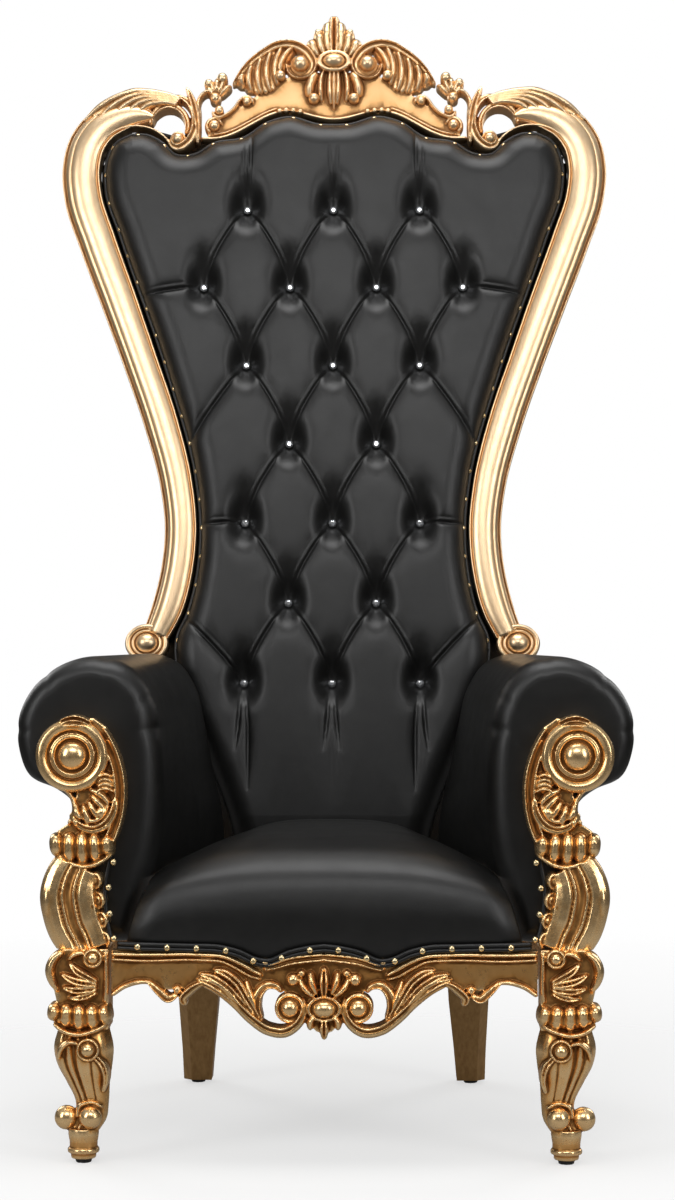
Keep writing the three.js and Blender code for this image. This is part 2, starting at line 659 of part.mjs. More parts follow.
function seatGeometry() {
  const across = [-1, -0.86, -0.6, -0.2, 0.2, 0.6, 0.86, 1];
  const halfWidth = (y, z) => {
    const t = THREE.MathUtils.clamp((y - ARM_BACK) / (ARM_REAR - ARM_BACK), 0, 1);
    return armInnerFace(z, t) - SEAT_CLEAR;
  };
  const rings = SEAT_PROFILE.map(([y, z]) => {
    const sag = THREE.MathUtils.mapLinear(z, SEAT_BOTTOM, SEAT_CROWN, 0, 44);
    const top = across.map((s) => {
      const height = z - sag * Math.abs(s) ** 3;
      return new THREE.Vector3(s * halfWidth(y, Math.max(height, SEAT_BOTTOM + 4)), y, height);
    });
    const half = halfWidth(y, SEAT_BOTTOM);
    const foot = SEAT_BOTTOM - 0.5;
    return [...top, new THREE.Vector3(half, y, foot), new THREE.Vector3(-half, y, foot)];
  });
  return loft(rings);
}

// ---------------------------------------------------------------- assembly
const throne = new THREE.Group();
const back = new THREE.Group();
back.position.set(0, BACK_FOOT.y, BACK_FOOT.z);
back.rotation.x = -BACK_LEAN;
throne.add(back);

function addPiece(parent, name, geometry, look) {
  const mesh = new THREE.Mesh(geometry, new THREE.MeshStandardMaterial(look));
  mesh.name = name;
  parent.add(mesh);
  return mesh;
}

function addPair(parent, name, geometry, look) {
  addPiece(parent, `${name}_right`, geometry, look);
  addPiece(parent, `${name}_left`, mirrored(geometry), look);
}

const stile = keepInside(stileGeometry(), [CREST_JOINT + GAP, -FAR, -FAR], [FAR, FAR, FAR]);
addPair(back, 'stile', toGeometry(stile), GOLD);
const crest = keepInside(crestGeometry(), [-CREST_JOINT, -FAR, -FAR], [CREST_JOINT, FAR, FAR]);
addPiece(back, 'crest_rail', toGeometry(crest), GOLD);
addPiece(back, 'back_pad', toGeometry(backPadGeometry()), LEATHER);
const rearSkin = board(outsideBackOutline(), BACK_REAR - 10, BACK_REAR - GAP);
addPiece(back, 'outside_back', outward(rearSkin), LEATHER);

buttonPlaces().forEach(([x, z], i) => {
  const name = `button_${String(i + 1).padStart(2, '0')}`;
  addPiece(back, name, outward(buttonGeometry(x, z)), CRYSTAL);
});

addPair(throne, 'arm_pad', outward(armPadGeometry()), LEATHER);
const armFront = keepInside(armFrontGeometry(), [-FAR, -FAR, RAIL_TOP + GAP], [FAR, FAR, FAR]);
addPair(throne, 'arm_front', toGeometry(armFront), GOLD);
const frontLeg = keepInside(frontLegGeometry(), [-FAR, -FAR, -FAR], [FAR, FAR, RAIL_TOP]);
addPair(throne, 'front_leg', toGeometry(frontLeg), GOLD);
addPiece(throne, 'front_rail', toGeometry(apronGeometry()), GOLD);
addPair(throne, 'side_rail', outward(sideRailGeometry()), GOLD);
addPair(throne, 'rear_leg', outward(rearLegGeometry()), BRONZE);
addPiece(throne, 'rear_rail', outward(boxBetween([-186, 178, 246], [186, 204, RAIL_TOP])), BRONZE);
addPair(throne, 'front_glide', outward(glideGeometry(354, -345)), GLIDE);
addPair(throne, 'rear_glide', outward(glideGeometry(233, 345)), GLIDE);
addPiece(throne, 'seat_pad', outward(seatGeometry()), LEATHER);

// The origin is under the middle of the whole object.
throne.updateMatrixWorld(true);
const extent = new THREE.Box3().setFromObject(throne, true);
throne.position.y = -(extent.min.y + extent.max.y) / 2;

export default throne;
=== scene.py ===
"""A carved, gilded high-back throne in black leather: its looks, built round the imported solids.

Shapes are drawn in millimetres as (across, height, depth towards the sitter), either upright or in
the leaning plane of the back, and become metres in the row frame when their mesh is made.
"""

import math

import bmesh
import bpy
import numpy as np
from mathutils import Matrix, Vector


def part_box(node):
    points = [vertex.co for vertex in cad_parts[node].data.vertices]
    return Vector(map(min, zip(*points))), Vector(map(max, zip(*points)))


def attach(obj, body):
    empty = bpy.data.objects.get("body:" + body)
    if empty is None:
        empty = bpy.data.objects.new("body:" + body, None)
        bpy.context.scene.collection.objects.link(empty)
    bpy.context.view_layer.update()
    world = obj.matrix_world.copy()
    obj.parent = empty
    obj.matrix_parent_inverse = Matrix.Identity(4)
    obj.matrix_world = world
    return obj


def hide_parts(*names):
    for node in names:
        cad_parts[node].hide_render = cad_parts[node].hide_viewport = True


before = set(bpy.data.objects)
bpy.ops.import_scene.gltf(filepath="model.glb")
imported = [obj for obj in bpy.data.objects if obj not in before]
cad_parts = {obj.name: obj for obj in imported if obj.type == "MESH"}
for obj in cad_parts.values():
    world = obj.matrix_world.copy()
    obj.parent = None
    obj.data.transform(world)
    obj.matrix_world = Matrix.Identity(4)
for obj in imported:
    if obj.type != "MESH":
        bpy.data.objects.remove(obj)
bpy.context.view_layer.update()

MM = 0.001
LEAN = math.radians(8)
BACK_FOOT_Y, BACK_FOOT_Z = 0.130, 0.450
FRONT_GLIDE_DEPTH = 0.345

# Depths in the plane of the back.
BACK_REAR = -34
CREST_BOARD = -12
PAD_FULL = 30
PAD_EDGE = -12

# Depths of the upright pieces at the front, and heights.
ARM_FACE, ARM_BACK = 352, 330
APRON_FACE, APRON_BACK = 372, 346
LEG_FACE, LEG_BACK = 378, 302
RAIL_TOP = 314

# Tufting.
PITCH = 145
ROW = 133.8
LOWEST = 239
ROWS = 7


def row_shift():
    """How far the row frame lies from the drawing's own along y, from where the front glides are."""
    low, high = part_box("front_glide_right")
    return (low.y + high.y) / 2 + FRONT_GLIDE_DEPTH


SHIFT = row_shift()


# ---------------------------------------------------------------- meshes
def to_row(points, leaning):
    """Drawing points in mm to the row frame in metres."""
    across, height, depth = np.asarray(points, float).T * MM
    if not leaning:
        return np.column_stack((across, SHIFT - depth, height))
    y = BACK_FOOT_Y + SHIFT + height * math.sin(LEAN) - depth * math.cos(LEAN)
    z = BACK_FOOT_Z + height * math.cos(LEAN) + depth * math.sin(LEAN)
    return np.column_stack((across, y, z))


def vertex_array(mesh):
    flat = np.empty(len(mesh.vertices) * 3, np.float32)
    mesh.vertices.foreach_get("co", flat)
    return flat.reshape(-1, 3).astype(float)


def set_vertices(mesh, points):
    mesh.vertices.foreach_set("co", np.asarray(points, np.float32).ravel())
    mesh.update()


def make_mesh(shells):
    """One mesh from closed shells, each (points, faces)."""
    points, faces, start = [], [], 0
    for shell_points, shell_faces in shells:
        points.append(np.asarray(shell_points, float))
        faces.extend([tuple(i + start for i in face) for face in shell_faces])
        start += len(shell_points)
    mesh = bpy.data.meshes.new("mesh")
    mesh.from_pydata(np.vstack(points).tolist(), [], faces)
    mesh.update()
    return mesh


def outward(mesh):
    work = bmesh.new()
    work.from_mesh(mesh)
    bmesh.ops.recalc_face_normals(work, faces=work.faces)
    work.to_mesh(mesh)
    work.free()
    return mesh


def apply_modifiers(mesh, *modifiers):
    """A new mesh with modifiers applied, each (type, {setting: value})."""
    carrier = bpy.data.objects.new("carrier", mesh)
    bpy.context.scene.collection.objects.link(carrier)
    for kind, settings in modifiers:
        modifier = carrier.modifiers.new(kind, kind)
        for key, value in settings.items():
            setattr(modifier, key, value)
    bpy.context.view_layer.update()
    graph = bpy.context.evaluated_depsgraph_get()
    result = bpy.data.meshes.new_from_object(carrier.evaluated_get(graph))
    bpy.data.objects.remove(carrier)
    return result


def triangle_count(mesh):
    mesh.calc_loop_triangles()
    return len(mesh.loop_triangles)


def thin_out(mesh, most):
    """The mesh with at most that many triangles."""
    count = triangle_count(mesh)
    if count <= most:
        return mesh
    return apply_modifiers(mesh, ("DECIMATE", {"ratio": most / count}))


# Carved bodies: the size of their mesh before it is thinned out, and how smooth it is made.
VOXEL = 1.35
SOFTENING = {"factor": 0.5, "iterations": 2}
# Edges longer than this are cut, in so many rounds.
LONG_EDGE, CUTTING_ROUNDS = 7, 2


def fuse(shells, most):
    """Overlapping shells welded into one carved body, in mm. It is thinned out to `most` triangles,
    and then its long edges are cut, which adds some."""
    mesh = make_mesh([(np.asarray(p, float) * MM, f) for p, f in shells])
    mesh = apply_modifiers(
        mesh,
        ("REMESH", {"mode": "VOXEL", "voxel_size": VOXEL * MM}),
        ("SMOOTH", SOFTENING),
    )
    mesh = thin_out(mesh, most)
    set_vertices(mesh, vertex_array(mesh) / MM)
    return cut_long_edges(mesh)


def cut_long_edges(mesh):
    work = bmesh.new()
    work.from_mesh(mesh)
    for _ in range(CUTTING_ROUNDS):
        long = [e for e in work.edges if e.calc_length() > LONG_EDGE]
        if not long:
            break
        bmesh.ops.subdivide_edges(work, edges=long, cuts=1)
        bmesh.ops.triangulate(work, faces=work.faces[:])
    work.to_mesh(mesh)
    work.free()
    mesh.validate()
    return mesh


def merge(*meshes):
    """One mesh that holds all the given ones."""
    shells = []
    for mesh in meshes:
        shells.append((vertex_array(mesh), [tuple(p.vertices) for p in mesh.polygons]))
    return make_mesh(shells)


def mirror(mesh):
    copy = mesh.copy()
    set_vertices(copy, vertex_array(copy) * (-1, 1, 1))
    copy.flip_normals()
    return copy


def neighbour_mean(points, edges, count):
    total = np.zeros_like(points)
    for axis in range(3):
        total[:, axis] = np.bincount(edges[:, 0], points[edges[:, 1], axis], len(points))
        total[:, axis] += np.bincount(edges[:, 1], points[edges[:, 0], axis], len(points))
    return total / count[:, None]


def store_relief(mesh):
    """A point attribute that is above 0 in hollows and below 0 on ridges, about one per 2 mm."""
    points = vertex_array(mesh)
    edges = np.empty(len(mesh.edges) * 2, np.int32)
    mesh.edges.foreach_get("vertices", edges)
    edges = edges.reshape(-1, 2)
    count = np.maximum(np.bincount(edges.ravel(), minlength=len(points)), 1)
    normals = np.array([n.vector for n in mesh.vertex_normals])
    relief = np.zeros(len(points))
    smooth = points
    for rounds, weight in ((5, 1.2), (25, 0.5)):
        for _ in range(rounds):
            smooth = 0.5 * smooth + 0.5 * neighbour_mean(smooth, edges, count)
        relief += weight * np.einsum("ij,ij->i", smooth - points, normals)
    attribute = mesh.attributes.new("relief", "FLOAT", "POINT")
    attribute.data.foreach_set("value", (relief / 2).astype(np.float32))


def show(name, mesh, material, leaning=False, relief=False, replaces=(), smooth=True):
    """Puts a mesh drawn in mm into the scene as a finished piece."""
    if relief:
        store_relief(mesh)
    set_vertices(mesh, to_row(vertex_array(mesh), leaning))
    mesh.polygons.foreach_set("use_smooth", [smooth] * len(mesh.polygons))
    mesh.materials.clear()
    mesh.materials.append(material)
    mesh.name = name
    piece = bpy.data.objects.new(name, mesh)
    bpy.context.scene.collection.objects.link(piece)
    if relief:
        evened = piece.modifiers.new("evened", "WEIGHTED_NORMAL")
        evened.weight = 80
    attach(piece, "root")
    if replaces:
        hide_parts(*replaces)
    return piece


def show_pair(name, mesh, material, leaning=False, relief=False):
    left = mirror(mesh)
    right_piece = show(f"{name}_right_carved", mesh, material, leaning, relief, [f"{name}_right"])
    left_piece = show(f"{name}_left_carved", left, material, leaning, relief, [f"{name}_left"])
    return right_piece, left_piece


# ---------------------------------------------------------------- carved shells
def dome_section(count=15):
    angle = np.linspace(math.pi, 0, count)
    return np.column_stack((np.cos(angle), np.sin(angle)))


def mirrored(half):
    """A line from its start to the middle, and on to the other side."""
    half = np.asarray(half, float)
    return np.vstack((half, half[-2::-1] * (-1, 1)))


ROUND = dome_section()
# A scroll with a rolled rim on each side of a hollow.
SCOOP = mirrored([(-1, 0), (-0.97, 0.45), (-0.88, 0.8), (-0.74, 0.98), (-0.58, 0.96), (-0.42, 0.76),
                  (-0.2, 0.6), (0, 0.56)])
# A scroll with a high outer rim and a face that falls away to the other side.
ROLL = np.array([(-1, 0), (-0.96, 0.5), (-0.84, 0.86), (-0.66, 1), (-0.48, 0.9), (-0.34, 0.66),
                 (-0.1, 0.62), (0.2, 0.7), (0.5, 0.66), (0.76, 0.5), (0.92, 0.3), (1, 0)])
# A leaf with a groove down its middle.
LEAF = mirrored([(-1, 0), (-0.94, 0.4), (-0.76, 0.82), (-0.5, 1), (-0.24, 0.86), (-0.08, 0.55),
                 (0, 0.48)])


def run_along(line):
    """How far along a line each of its points is."""
    return np.concatenate(([0], np.cumsum(np.linalg.norm(np.diff(line, axis=0), axis=1))))


def right_of(line):
    """Unit vectors to the right of the way along a line of (across, height)."""
    along = np.gradient(line, axis=0)
    along /= np.maximum(np.linalg.norm(along, axis=1), 1e-9)[:, None]
    return np.column_stack((along[:, 1], -along[:, 0]))


def circle(sides):
    return np.linspace(0, 2 * math.pi, sides, endpoint=False)


def smooth_path(stations, step):
    """Points about `step` apart on a smooth curve through the stations. The first two columns are
    its place and the others change along with it."""
    points = np.array(stations, float)
    knots = run_along(points[:, :2])
    slopes = np.gradient(points, knots, axis=0)
    at = np.linspace(0, knots[-1], max(4, int(knots[-1] / step)) + 1)
    i = np.clip(np.searchsorted(knots, at, side="right") - 1, 0, len(knots) - 2)
    span = (knots[i + 1] - knots[i])[:, None]
    s = (at - knots[i])[:, None] / span
    start = (2 * s**3 - 3 * s**2 + 1) * points[i] + (s**3 - 2 * s**2 + s) * span * slopes[i]
    end = (3 * s**2 - 2 * s**3) * points[i + 1] + (s**3 - s**2) * span * slopes[i + 1]
    return start + end


def skin(rings):
    """A closed shell over rings of equal count, as (points, faces)."""
    rings = np.asarray(rings, float)
    count, around = rings.shape[:2]
    faces = []
    for r in range(count - 1):
        for i in range(around):
            j = (i + 1) % around
            a, b = r * around + i, r * around + j
            faces.append((a, b, b + around, a + around))
    faces.append(tuple(range(around - 1, -1, -1)))
    faces.append(tuple(range((count - 1) * around, count * around)))
    return rings.reshape(-1, 3), faces


STROKE_STEP = 2.2


def stroke(stations, base, back, section=ROUND, round_tips=True):
    """A carved strip through (across, height, width, rise) stations. It rises from depth `base`, and
    its flat rear is at depth `back`."""
    path = smooth_path(stations, STROKE_STEP)
    centre = path[:, :2]
    width = np.maximum(path[:, 2], 1.0)
    rise = np.maximum(path[:, 3], 0.5)
    if round_tips:
        run = run_along(centre)
        to_tip = np.minimum(run, run[-1] - run)
        reach = np.clip(width / 2, 1.5, 7)
        tip = np.sqrt(np.clip(1 - (1 - np.clip(to_tip / reach, 0, 1)) ** 2, 0.06, 1))
        width = width * tip
        rise = rise * (0.45 + 0.55 * tip)
    across = right_of(centre)
    place, up = section.T
    flat = centre[:, None] + across[:, None] * place[None, :, None] * width[:, None, None] / 2
    depth = base + rise[:, None] * up[None]
    front = np.dstack((flat, depth))
    feet = front[:, [-1, 0]].copy()
    feet[:, :, 2] = back
    return skin(np.concatenate((front, feet), axis=1))


def knob(across, height, profile, back, squash=1.0, sides=40):
    """Turned rings or a ball that faces the sitter: (radius, depth) from the rim to the middle."""
    angle = circle(sides)
    rings = []
    for radius, depth in [(profile[0][0], back), *profile]:
        radius = max(radius, 0.05)
        rings.append(np.column_stack((across + radius * np.cos(angle),
                                      height + radius * np.sin(angle) * squash,
                                      np.full(sides, depth))))
    return skin(rings)


def dome(radius, low, high, steps=7):
    angle = np.linspace(0, math.pi / 2, steps)
    return [(radius * math.cos(a), low + (high - low) * math.sin(a)) for a in angle]


def pearl(across, height, radius, top, back):
    return knob(across, height, dome(radius, top - radius, top), back, sides=24)


def board(outline, back, face):
    """A flat plate from an outline of (across, height)."""
    outline = np.asarray(outline, float)
    rings = [np.column_stack((outline, np.full(len(outline), depth))) for depth in (back, face)]
    return skin(rings)


def flip_shell(shell):
    points, faces = shell
    return np.asarray(points) * (-1, 1, 1), [face[::-1] for face in faces]


def both_sides(shells):
    return shells + [flip_shell(shell) for shell in shells]


def widths(line, wide, rise):
    """Adds a width and a rise to each place of a line, from two lists spread evenly along it."""
    along = np.linspace(0, 1, len(line))
    return np.column_stack((line, *(np.interp(along, np.linspace(0, 1, len(size)), size)
                                    for size in (wide, rise))))


def carver(low, back):
    """A function that carves strips which rise from depth `low` and end flat at depth `back`."""
    def carve(line, wide, rise, section=ROUND):
        return stroke(widths(line, wide, rise), low, back, section)
    return carve


def oval(centre, across, tall, start, end, count=10):
    """Places on part of an ellipse; angles in degrees, anticlockwise from straight across."""
    turn = np.radians(np.linspace(start, end, count))
    return np.column_stack((centre[0] + across * np.cos(turn), centre[1] + tall * np.sin(turn)))


def bend(start, end, bow, count=7):
    """Places from a start to an end, bowed by `bow` to the left of the way."""
    start, end = np.array(start, float), np.array(end, float)
    way = end - start
    left = np.array((-way[1], way[0])) / np.linalg.norm(way)
    share = np.linspace(0, 1, count)[:, None]
    return start + way * share + left * bow * 4 * share * (1 - share)


def spread(line, count):
    """Evenly spaced places along a line."""
    path = smooth_path(line, 1.0)
    return path[np.linspace(0, len(path) - 1, count).astype(int)]


def fan(roots, tips, bows, count, wide, rise, base, back):
    """Flutes side by side, from places along one line to places along another."""
    return [stroke(widths(bend(start, end, bow), wide, rise), base, back)
            for start, end, bow in zip(spread(roots, count), spread(tips, count),
                                       np.linspace(*bows, count))]


# ---------------------------------------------------------------- materials
def material(name):
    made = bpy.data.materials.new(name)
    made.use_nodes = True
    tree = made.node_tree
    return made, tree, tree.nodes["Principled BSDF"]


def node(tree, kind, **settings):
    made = tree.nodes.new(kind)
    for key, value in settings.items():
        if key in made.inputs:
            made.inputs[key].default_value = value
        else:
            setattr(made, key, value)
    return made


def ramp(tree, source, stops):
    made = tree.nodes.new("ShaderNodeValToRGB")
    while len(made.color_ramp.elements) < len(stops):
        made.color_ramp.elements.new(0.5)
    for element, (place, colour) in zip(made.color_ramp.elements, stops):
        element.position = place
        element.color = (*colour, 1)
    tree.links.new(source, made.inputs["Fac"])
    return made.outputs["Color"]


def scaled(tree, source, low, high, to_low=0.0, to_high=1.0):
    made = node(tree, "ShaderNodeMapRange", **{"From Min": low, "From Max": high,
                                               "To Min": to_low, "To Max": to_high})
    tree.links.new(source, made.inputs["Value"])
    return made.outputs["Result"]


def noise(tree, scale, detail=3.0, roughness=0.55):
    coordinates = tree.nodes.new("ShaderNodeTexCoord")
    made = node(tree, "ShaderNodeTexNoise", Scale=scale, Detail=detail, Roughness=roughness)
    tree.links.new(coordinates.outputs["Object"], made.inputs["Vector"])
    return made.outputs["Fac"]


def mix(tree, factor, first, second):
    made = node(tree, "ShaderNodeMix", data_type="RGBA")
    tree.links.new(factor, made.inputs["Factor"])
    for socket, value in ((made.inputs[6], first), (made.inputs[7], second)):
        if isinstance(value, tuple):
            socket.default_value = (*value, 1)
        else:
            tree.links.new(value, socket)
    return made.outputs[2]


def bump(tree, shader, height, distance, strength=1.0, after=None):
    made = node(tree, "ShaderNodeBump", Distance=distance, Strength=strength)
    tree.links.new(height, made.inputs["Height"])
    if after is not None:
        tree.links.new(after, made.inputs["Normal"])
    tree.links.new(made.outputs["Normal"], shader.inputs["Normal"])
    return made.outputs["Normal"]


# Colours of gold leaf from ridge to hollow, and the gloss of its ridges and hollows. The dark brown
# towards the hollows is brown glaze together with painted shade.
# The pale set is partly a lighter copy of the deep set: painted light for the better-lit crest and
# stiles.
PALE_GOLD = ((1.0, 0.74, 0.46), (0.95, 0.62, 0.32), (0.78, 0.44, 0.18), (0.24, 0.11, 0.038))
DEEP_GOLD = ((1.0, 0.70, 0.36), (0.95, 0.55, 0.21), (0.68, 0.33, 0.095), (0.17, 0.07, 0.018))


def gilding(name, colours, gloss):
    """Gold leaf over carved wood: burnished on the ridges, darkened to brown in the hollows by glaze and
    by painted shade.
    """
    made, tree, shader = material(name)
    relief = tree.nodes.new("ShaderNodeAttribute")
    relief.attribute_name = "relief"
    hollow = scaled(tree, relief.outputs["Fac"], -0.35, 0.40)
    # painted shade: the colour darkens from ridge to hollow, along with the brown glaze
    glaze_and_shade_colour = ramp(tree, hollow, list(zip((0.0, 0.45, 0.66, 0.9), colours)))
    cloud = scaled(tree, noise(tree, 38, 5), 0.38, 0.72, 0.0, 0.30)
    tinted = mix(tree, cloud, glaze_and_shade_colour, tuple(0.6 * a + 0.4 * b for a, b in zip(colours[1], colours[2])))
    tree.links.new(tinted, shader.inputs["Base Color"])
    shader.inputs["Metallic"].default_value = 0.94
    rough = node(tree, "ShaderNodeMath", operation="ADD")
    tree.links.new(scaled(tree, hollow, 0.40, 0.9, *gloss), rough.inputs[0])
    tree.links.new(scaled(tree, noise(tree, 180, 5), 0.3, 0.7, 0.0, 0.10), rough.inputs[1])
    tree.links.new(rough.outputs[0], shader.inputs["Roughness"])
    gesso = bump(tree, shader, noise(tree, 45, 3), 0.0006, 0.18)
    bump(tree, shader, noise(tree, 700, 2), 0.00008, 0.15, after=gesso)
    return made


def leather():
    made, tree, shader = material("black_leather")
    cells = node(tree, "ShaderNodeTexVoronoi", Scale=900.0, feature="DISTANCE_TO_EDGE")
    coordinates = tree.nodes.new("ShaderNodeTexCoord")
    tree.links.new(coordinates.outputs["Object"], cells.inputs["Vector"])
    grain = scaled(tree, cells.outputs["Distance"], 0.0, 0.12)
    creased = noise(tree, 40, 6, 0.6)
    tint = ramp(tree, scaled(tree, creased, 0.3, 0.75), [
        (0.0, (0.0042, 0.0041, 0.0039)), (1.0, (0.0085, 0.0083, 0.0078))])
    tree.links.new(tint, shader.inputs["Base Color"])
    rough = node(tree, "ShaderNodeMath", operation="ADD")
    tree.links.new(scaled(tree, noise(tree, 24, 4), 0.3, 0.7, 0.30, 0.37), rough.inputs[0])
    tree.links.new(scaled(tree, grain, 0, 1, 0.04, 0.0), rough.inputs[1])
    tree.links.new(rough.outputs[0], shader.inputs["Roughness"])
    shader.inputs["Specular IOR Level"].default_value = 0.5
    soft = bump(tree, shader, creased, 0.0008, 0.22)
    bump(tree, shader, grain, 0.00009, 0.5, after=soft)
    return made


def bronzed():
    made, tree, shader = material("bronzed_wood")
    grain = node(tree, "ShaderNodeTexNoise", Scale=1.0, Detail=6.0, Roughness=0.6)
    coordinates = tree.nodes.new("ShaderNodeTexCoord")
    stretch = node(tree, "ShaderNodeMapping")
    stretch.inputs["Scale"].default_value = (160, 160, 12)
    tree.links.new(coordinates.outputs["Object"], stretch.inputs["Vector"])
    tree.links.new(stretch.outputs["Vector"], grain.inputs["Vector"])
    tint = ramp(tree, scaled(tree, grain.outputs["Fac"], 0.3, 0.7), [
        (0.0, (0.30, 0.16, 0.055)), (1.0, (0.46, 0.27, 0.10))])
    tree.links.new(tint, shader.inputs["Base Color"])
    shader.inputs["Metallic"].default_value = 0.55
    tree.links.new(scaled(tree, grain.outputs["Fac"], 0.3, 0.7, 0.34, 0.48), shader.inputs["Roughness"])
    bump(tree, shader, grain.outputs["Fac"], 0.0004, 0.4)
    return made


def mottled(name, grain, low, high, colours, gloss_scale, gloss, metallic=0.0):
    """A material whose colour and gloss vary a little from place to place."""
    made, tree, shader = material(name)
    tint = ramp(tree, scaled(tree, noise(tree, *grain), low, high), list(zip((0.0, 1.0), colours)))
    tree.links.new(tint, shader.inputs["Base Color"])
    shader.inputs["Metallic"].default_value = metallic
    rough = scaled(tree, noise(tree, gloss_scale, 2), 0.3, 0.7, *gloss)
    tree.links.new(rough, shader.inputs["Roughness"])
    return made, tree, shader


def brass_nail():
    return mottled("brass_nail", (300, 3), 0.35, 0.65, ((0.80, 0.60, 0.30), (0.95, 0.80, 0.50)),
                   700, (0.16, 0.26), 1.0)[0]


def crystal():
    made, _, shader = mottled("crystal", (260, 2), 0.35, 0.65, ((0.80, 0.84, 0.90), (0.97, 0.98, 1.0)),
                              900, (0.02, 0.07), 0.9)
    shader.inputs["Coat Weight"].default_value = 1.0
    shader.inputs["Coat Roughness"].default_value = 0.02
    return made


def moulded_black():
    made, tree, shader = mottled("black_glide", (200, 4), 0.3, 0.7,
                                 ((0.012, 0.012, 0.012), (0.03, 0.03, 0.03)), 500, (0.45, 0.65))
    bump(tree, shader, noise(tree, 1200, 2), 0.0001, 0.5)
    return made


# painted light: the pale gold is partly a lit copy of the deep gold, for the crest and stiles, which
# stand in stronger light than the arm fronts, legs and rails
GOLD = gilding("gold_leaf_pale", PALE_GOLD, (0.30, 0.52))
GOLD_DEEP = gilding("gold_leaf_deep", DEEP_GOLD, (0.20, 0.42))
LEATHER = leather()
BRONZE = bronzed()
NAIL = brass_nail()
CRYSTAL = crystal()
BLACK = moulded_black()


# ---------------------------------------------------------------- crest
# The lower edge is a cupid's bow: it swells from the middle up to a cusp, then falls to its end.
CREST_MIDDLE, CREST_CUSP, CREST_END, CREST_WIDE = 1200, (78, 1214), (206, 1166.5), 214


def half_wave(start, end, share):
    return start + (end - start) * (1 - math.cos(math.pi * share)) / 2


def crest_edge(across):
    cusp, top = CREST_CUSP
    end, low = CREST_END
    across = abs(across)
    if across <= cusp:
        return half_wave(CREST_MIDDLE, top, across / cusp)
    return half_wave(top, low, min(1, (across - cusp) / (end - cusp)))


def along_crest(start, end, up, count=14):
    """Places that follow the crest's lower edge, `up` above it."""
    return [(x, crest_edge(x) + up) for x in np.linspace(start, end, count)]


CREST_BOTTOM = along_crest(0, CREST_WIDE, 0, 60)
CREST_TOP = [(214, 1190), (190, 1205), (166, 1224), (140, 1242), (112, 1263), (70, 1284), (0, 1291)]
CREST_BALL = (57, 1299)      # the ball that the great scroll wraps
SCROLL_OVER = (82, 1292)     # middle of the scroll's sweep over that ball
END_PEARL, FAR_PEARL, LOW_PEARL = (195, 1220), (148, 1235), (203, 1193)


def crest_shells():
    back, low = BACK_REAR + 4, CREST_BOARD - 4
    carve = carver(low, back)
    over = oval(SCROLL_OVER, 48, 43, 165, 50)
    down = bend(over[-1], (172, 1265), 6)[1:]
    great = np.vstack((oval(CREST_BALL, 21.5, 20, 10, -165), over, down))
    leaf_roots = np.vstack((over[-5:], down[:4])) - (3, 5)
    leaf_tips = oval((124, 1279), 33, 30, 182, 325)
    knob_roots = oval((200, 1243), 6, 5, 10, 170)
    knob_tips = oval((196, 1250), 25, 28, 22, 150)
    s_scroll = np.vstack((oval(END_PEARL, 11.5, 12, 0, -120),
                          bend((184, 1212), (160, 1240), 3)[1:-1],
                          oval(FAR_PEARL, 10, 9.5, 45, 200)))
    loop = np.vstack((bend((235, 1176), (231, 1230), 3), oval((212, 1230), 19, 23, 0, 125)[1:]))
    half = [
        board(np.vstack((CREST_BOTTOM, CREST_TOP)), BACK_REAR, CREST_BOARD),
        # two beads along the lower edge, on each side of the cusp
        carve(along_crest(226, 84, 4.5), [8, 8], [12, 12]),
        carve(along_crest(206, 96, 12.5), [3.6, 3.6], [9, 9]),
        carve(along_crest(72, -2, 4.5), [8, 8], [11, 11]),
        *(pearl(x, crest_edge(x) + 5, 4.6, 1, back) for x in (57, 69, 81, 92)),
        # great scroll round its ball
        carve(great, [6, 9, 10, 13, 16, 17, 16, 15, 13, 11, 6],
              [12, 14, 17, 20, 23, 24, 24, 23, 21, 18, 9], ROLL),
        knob(*CREST_BALL, [(17, -10), (17, -3), (15, -1), (13.8, -3), *dome(13, 3, 16)], back),
        # leaf that hangs from the scroll: a filled body and the flutes on it
        *fan(leaf_roots, leaf_tips, (8, 5), 7, [18, 22, 20, 12], [12, 13, 13, 9], low, back),
        *fan(leaf_roots, leaf_tips, (9, 6), 6, [8, 12, 14, 13, 7], [19, 22, 21, 18, 11], low, back),
        pearl(91, 1280, 8.5, 7, back),
        # knobbed leaf beside the loop
        *fan(knob_roots, knob_tips, (2, -2), 5, [8, 12, 13, 9], [14, 19, 19, 12], low, back),
        pearl(213, 1266, 8, 5, back),
        pearl(190, 1276, 9, 6, back),
        # loop with its broad end, and the S-scroll between two pearls
        carve(loop, [9, 8, 8, 9, 12], [13, 15, 16, 18, 15]),
        knob(202, 1241, dome(9.5, -6, 6), back, sides=24),
        carve(s_scroll, [5, 6.5, 7, 7, 6.5, 5], [11, 14, 15, 15, 14, 10]),
        pearl(*END_PEARL, 7.5, 4, back),
        pearl(*FAR_PEARL, 7, 3, back),
        pearl(*LOW_PEARL, 9, 6, back),
        carve(oval(LOW_PEARL, 13, 13, 170, -60), [5, 7, 8, 8, 7], [9, 12, 13, 12, 9]),
    ]
    return both_sides(half) + finial_shells()


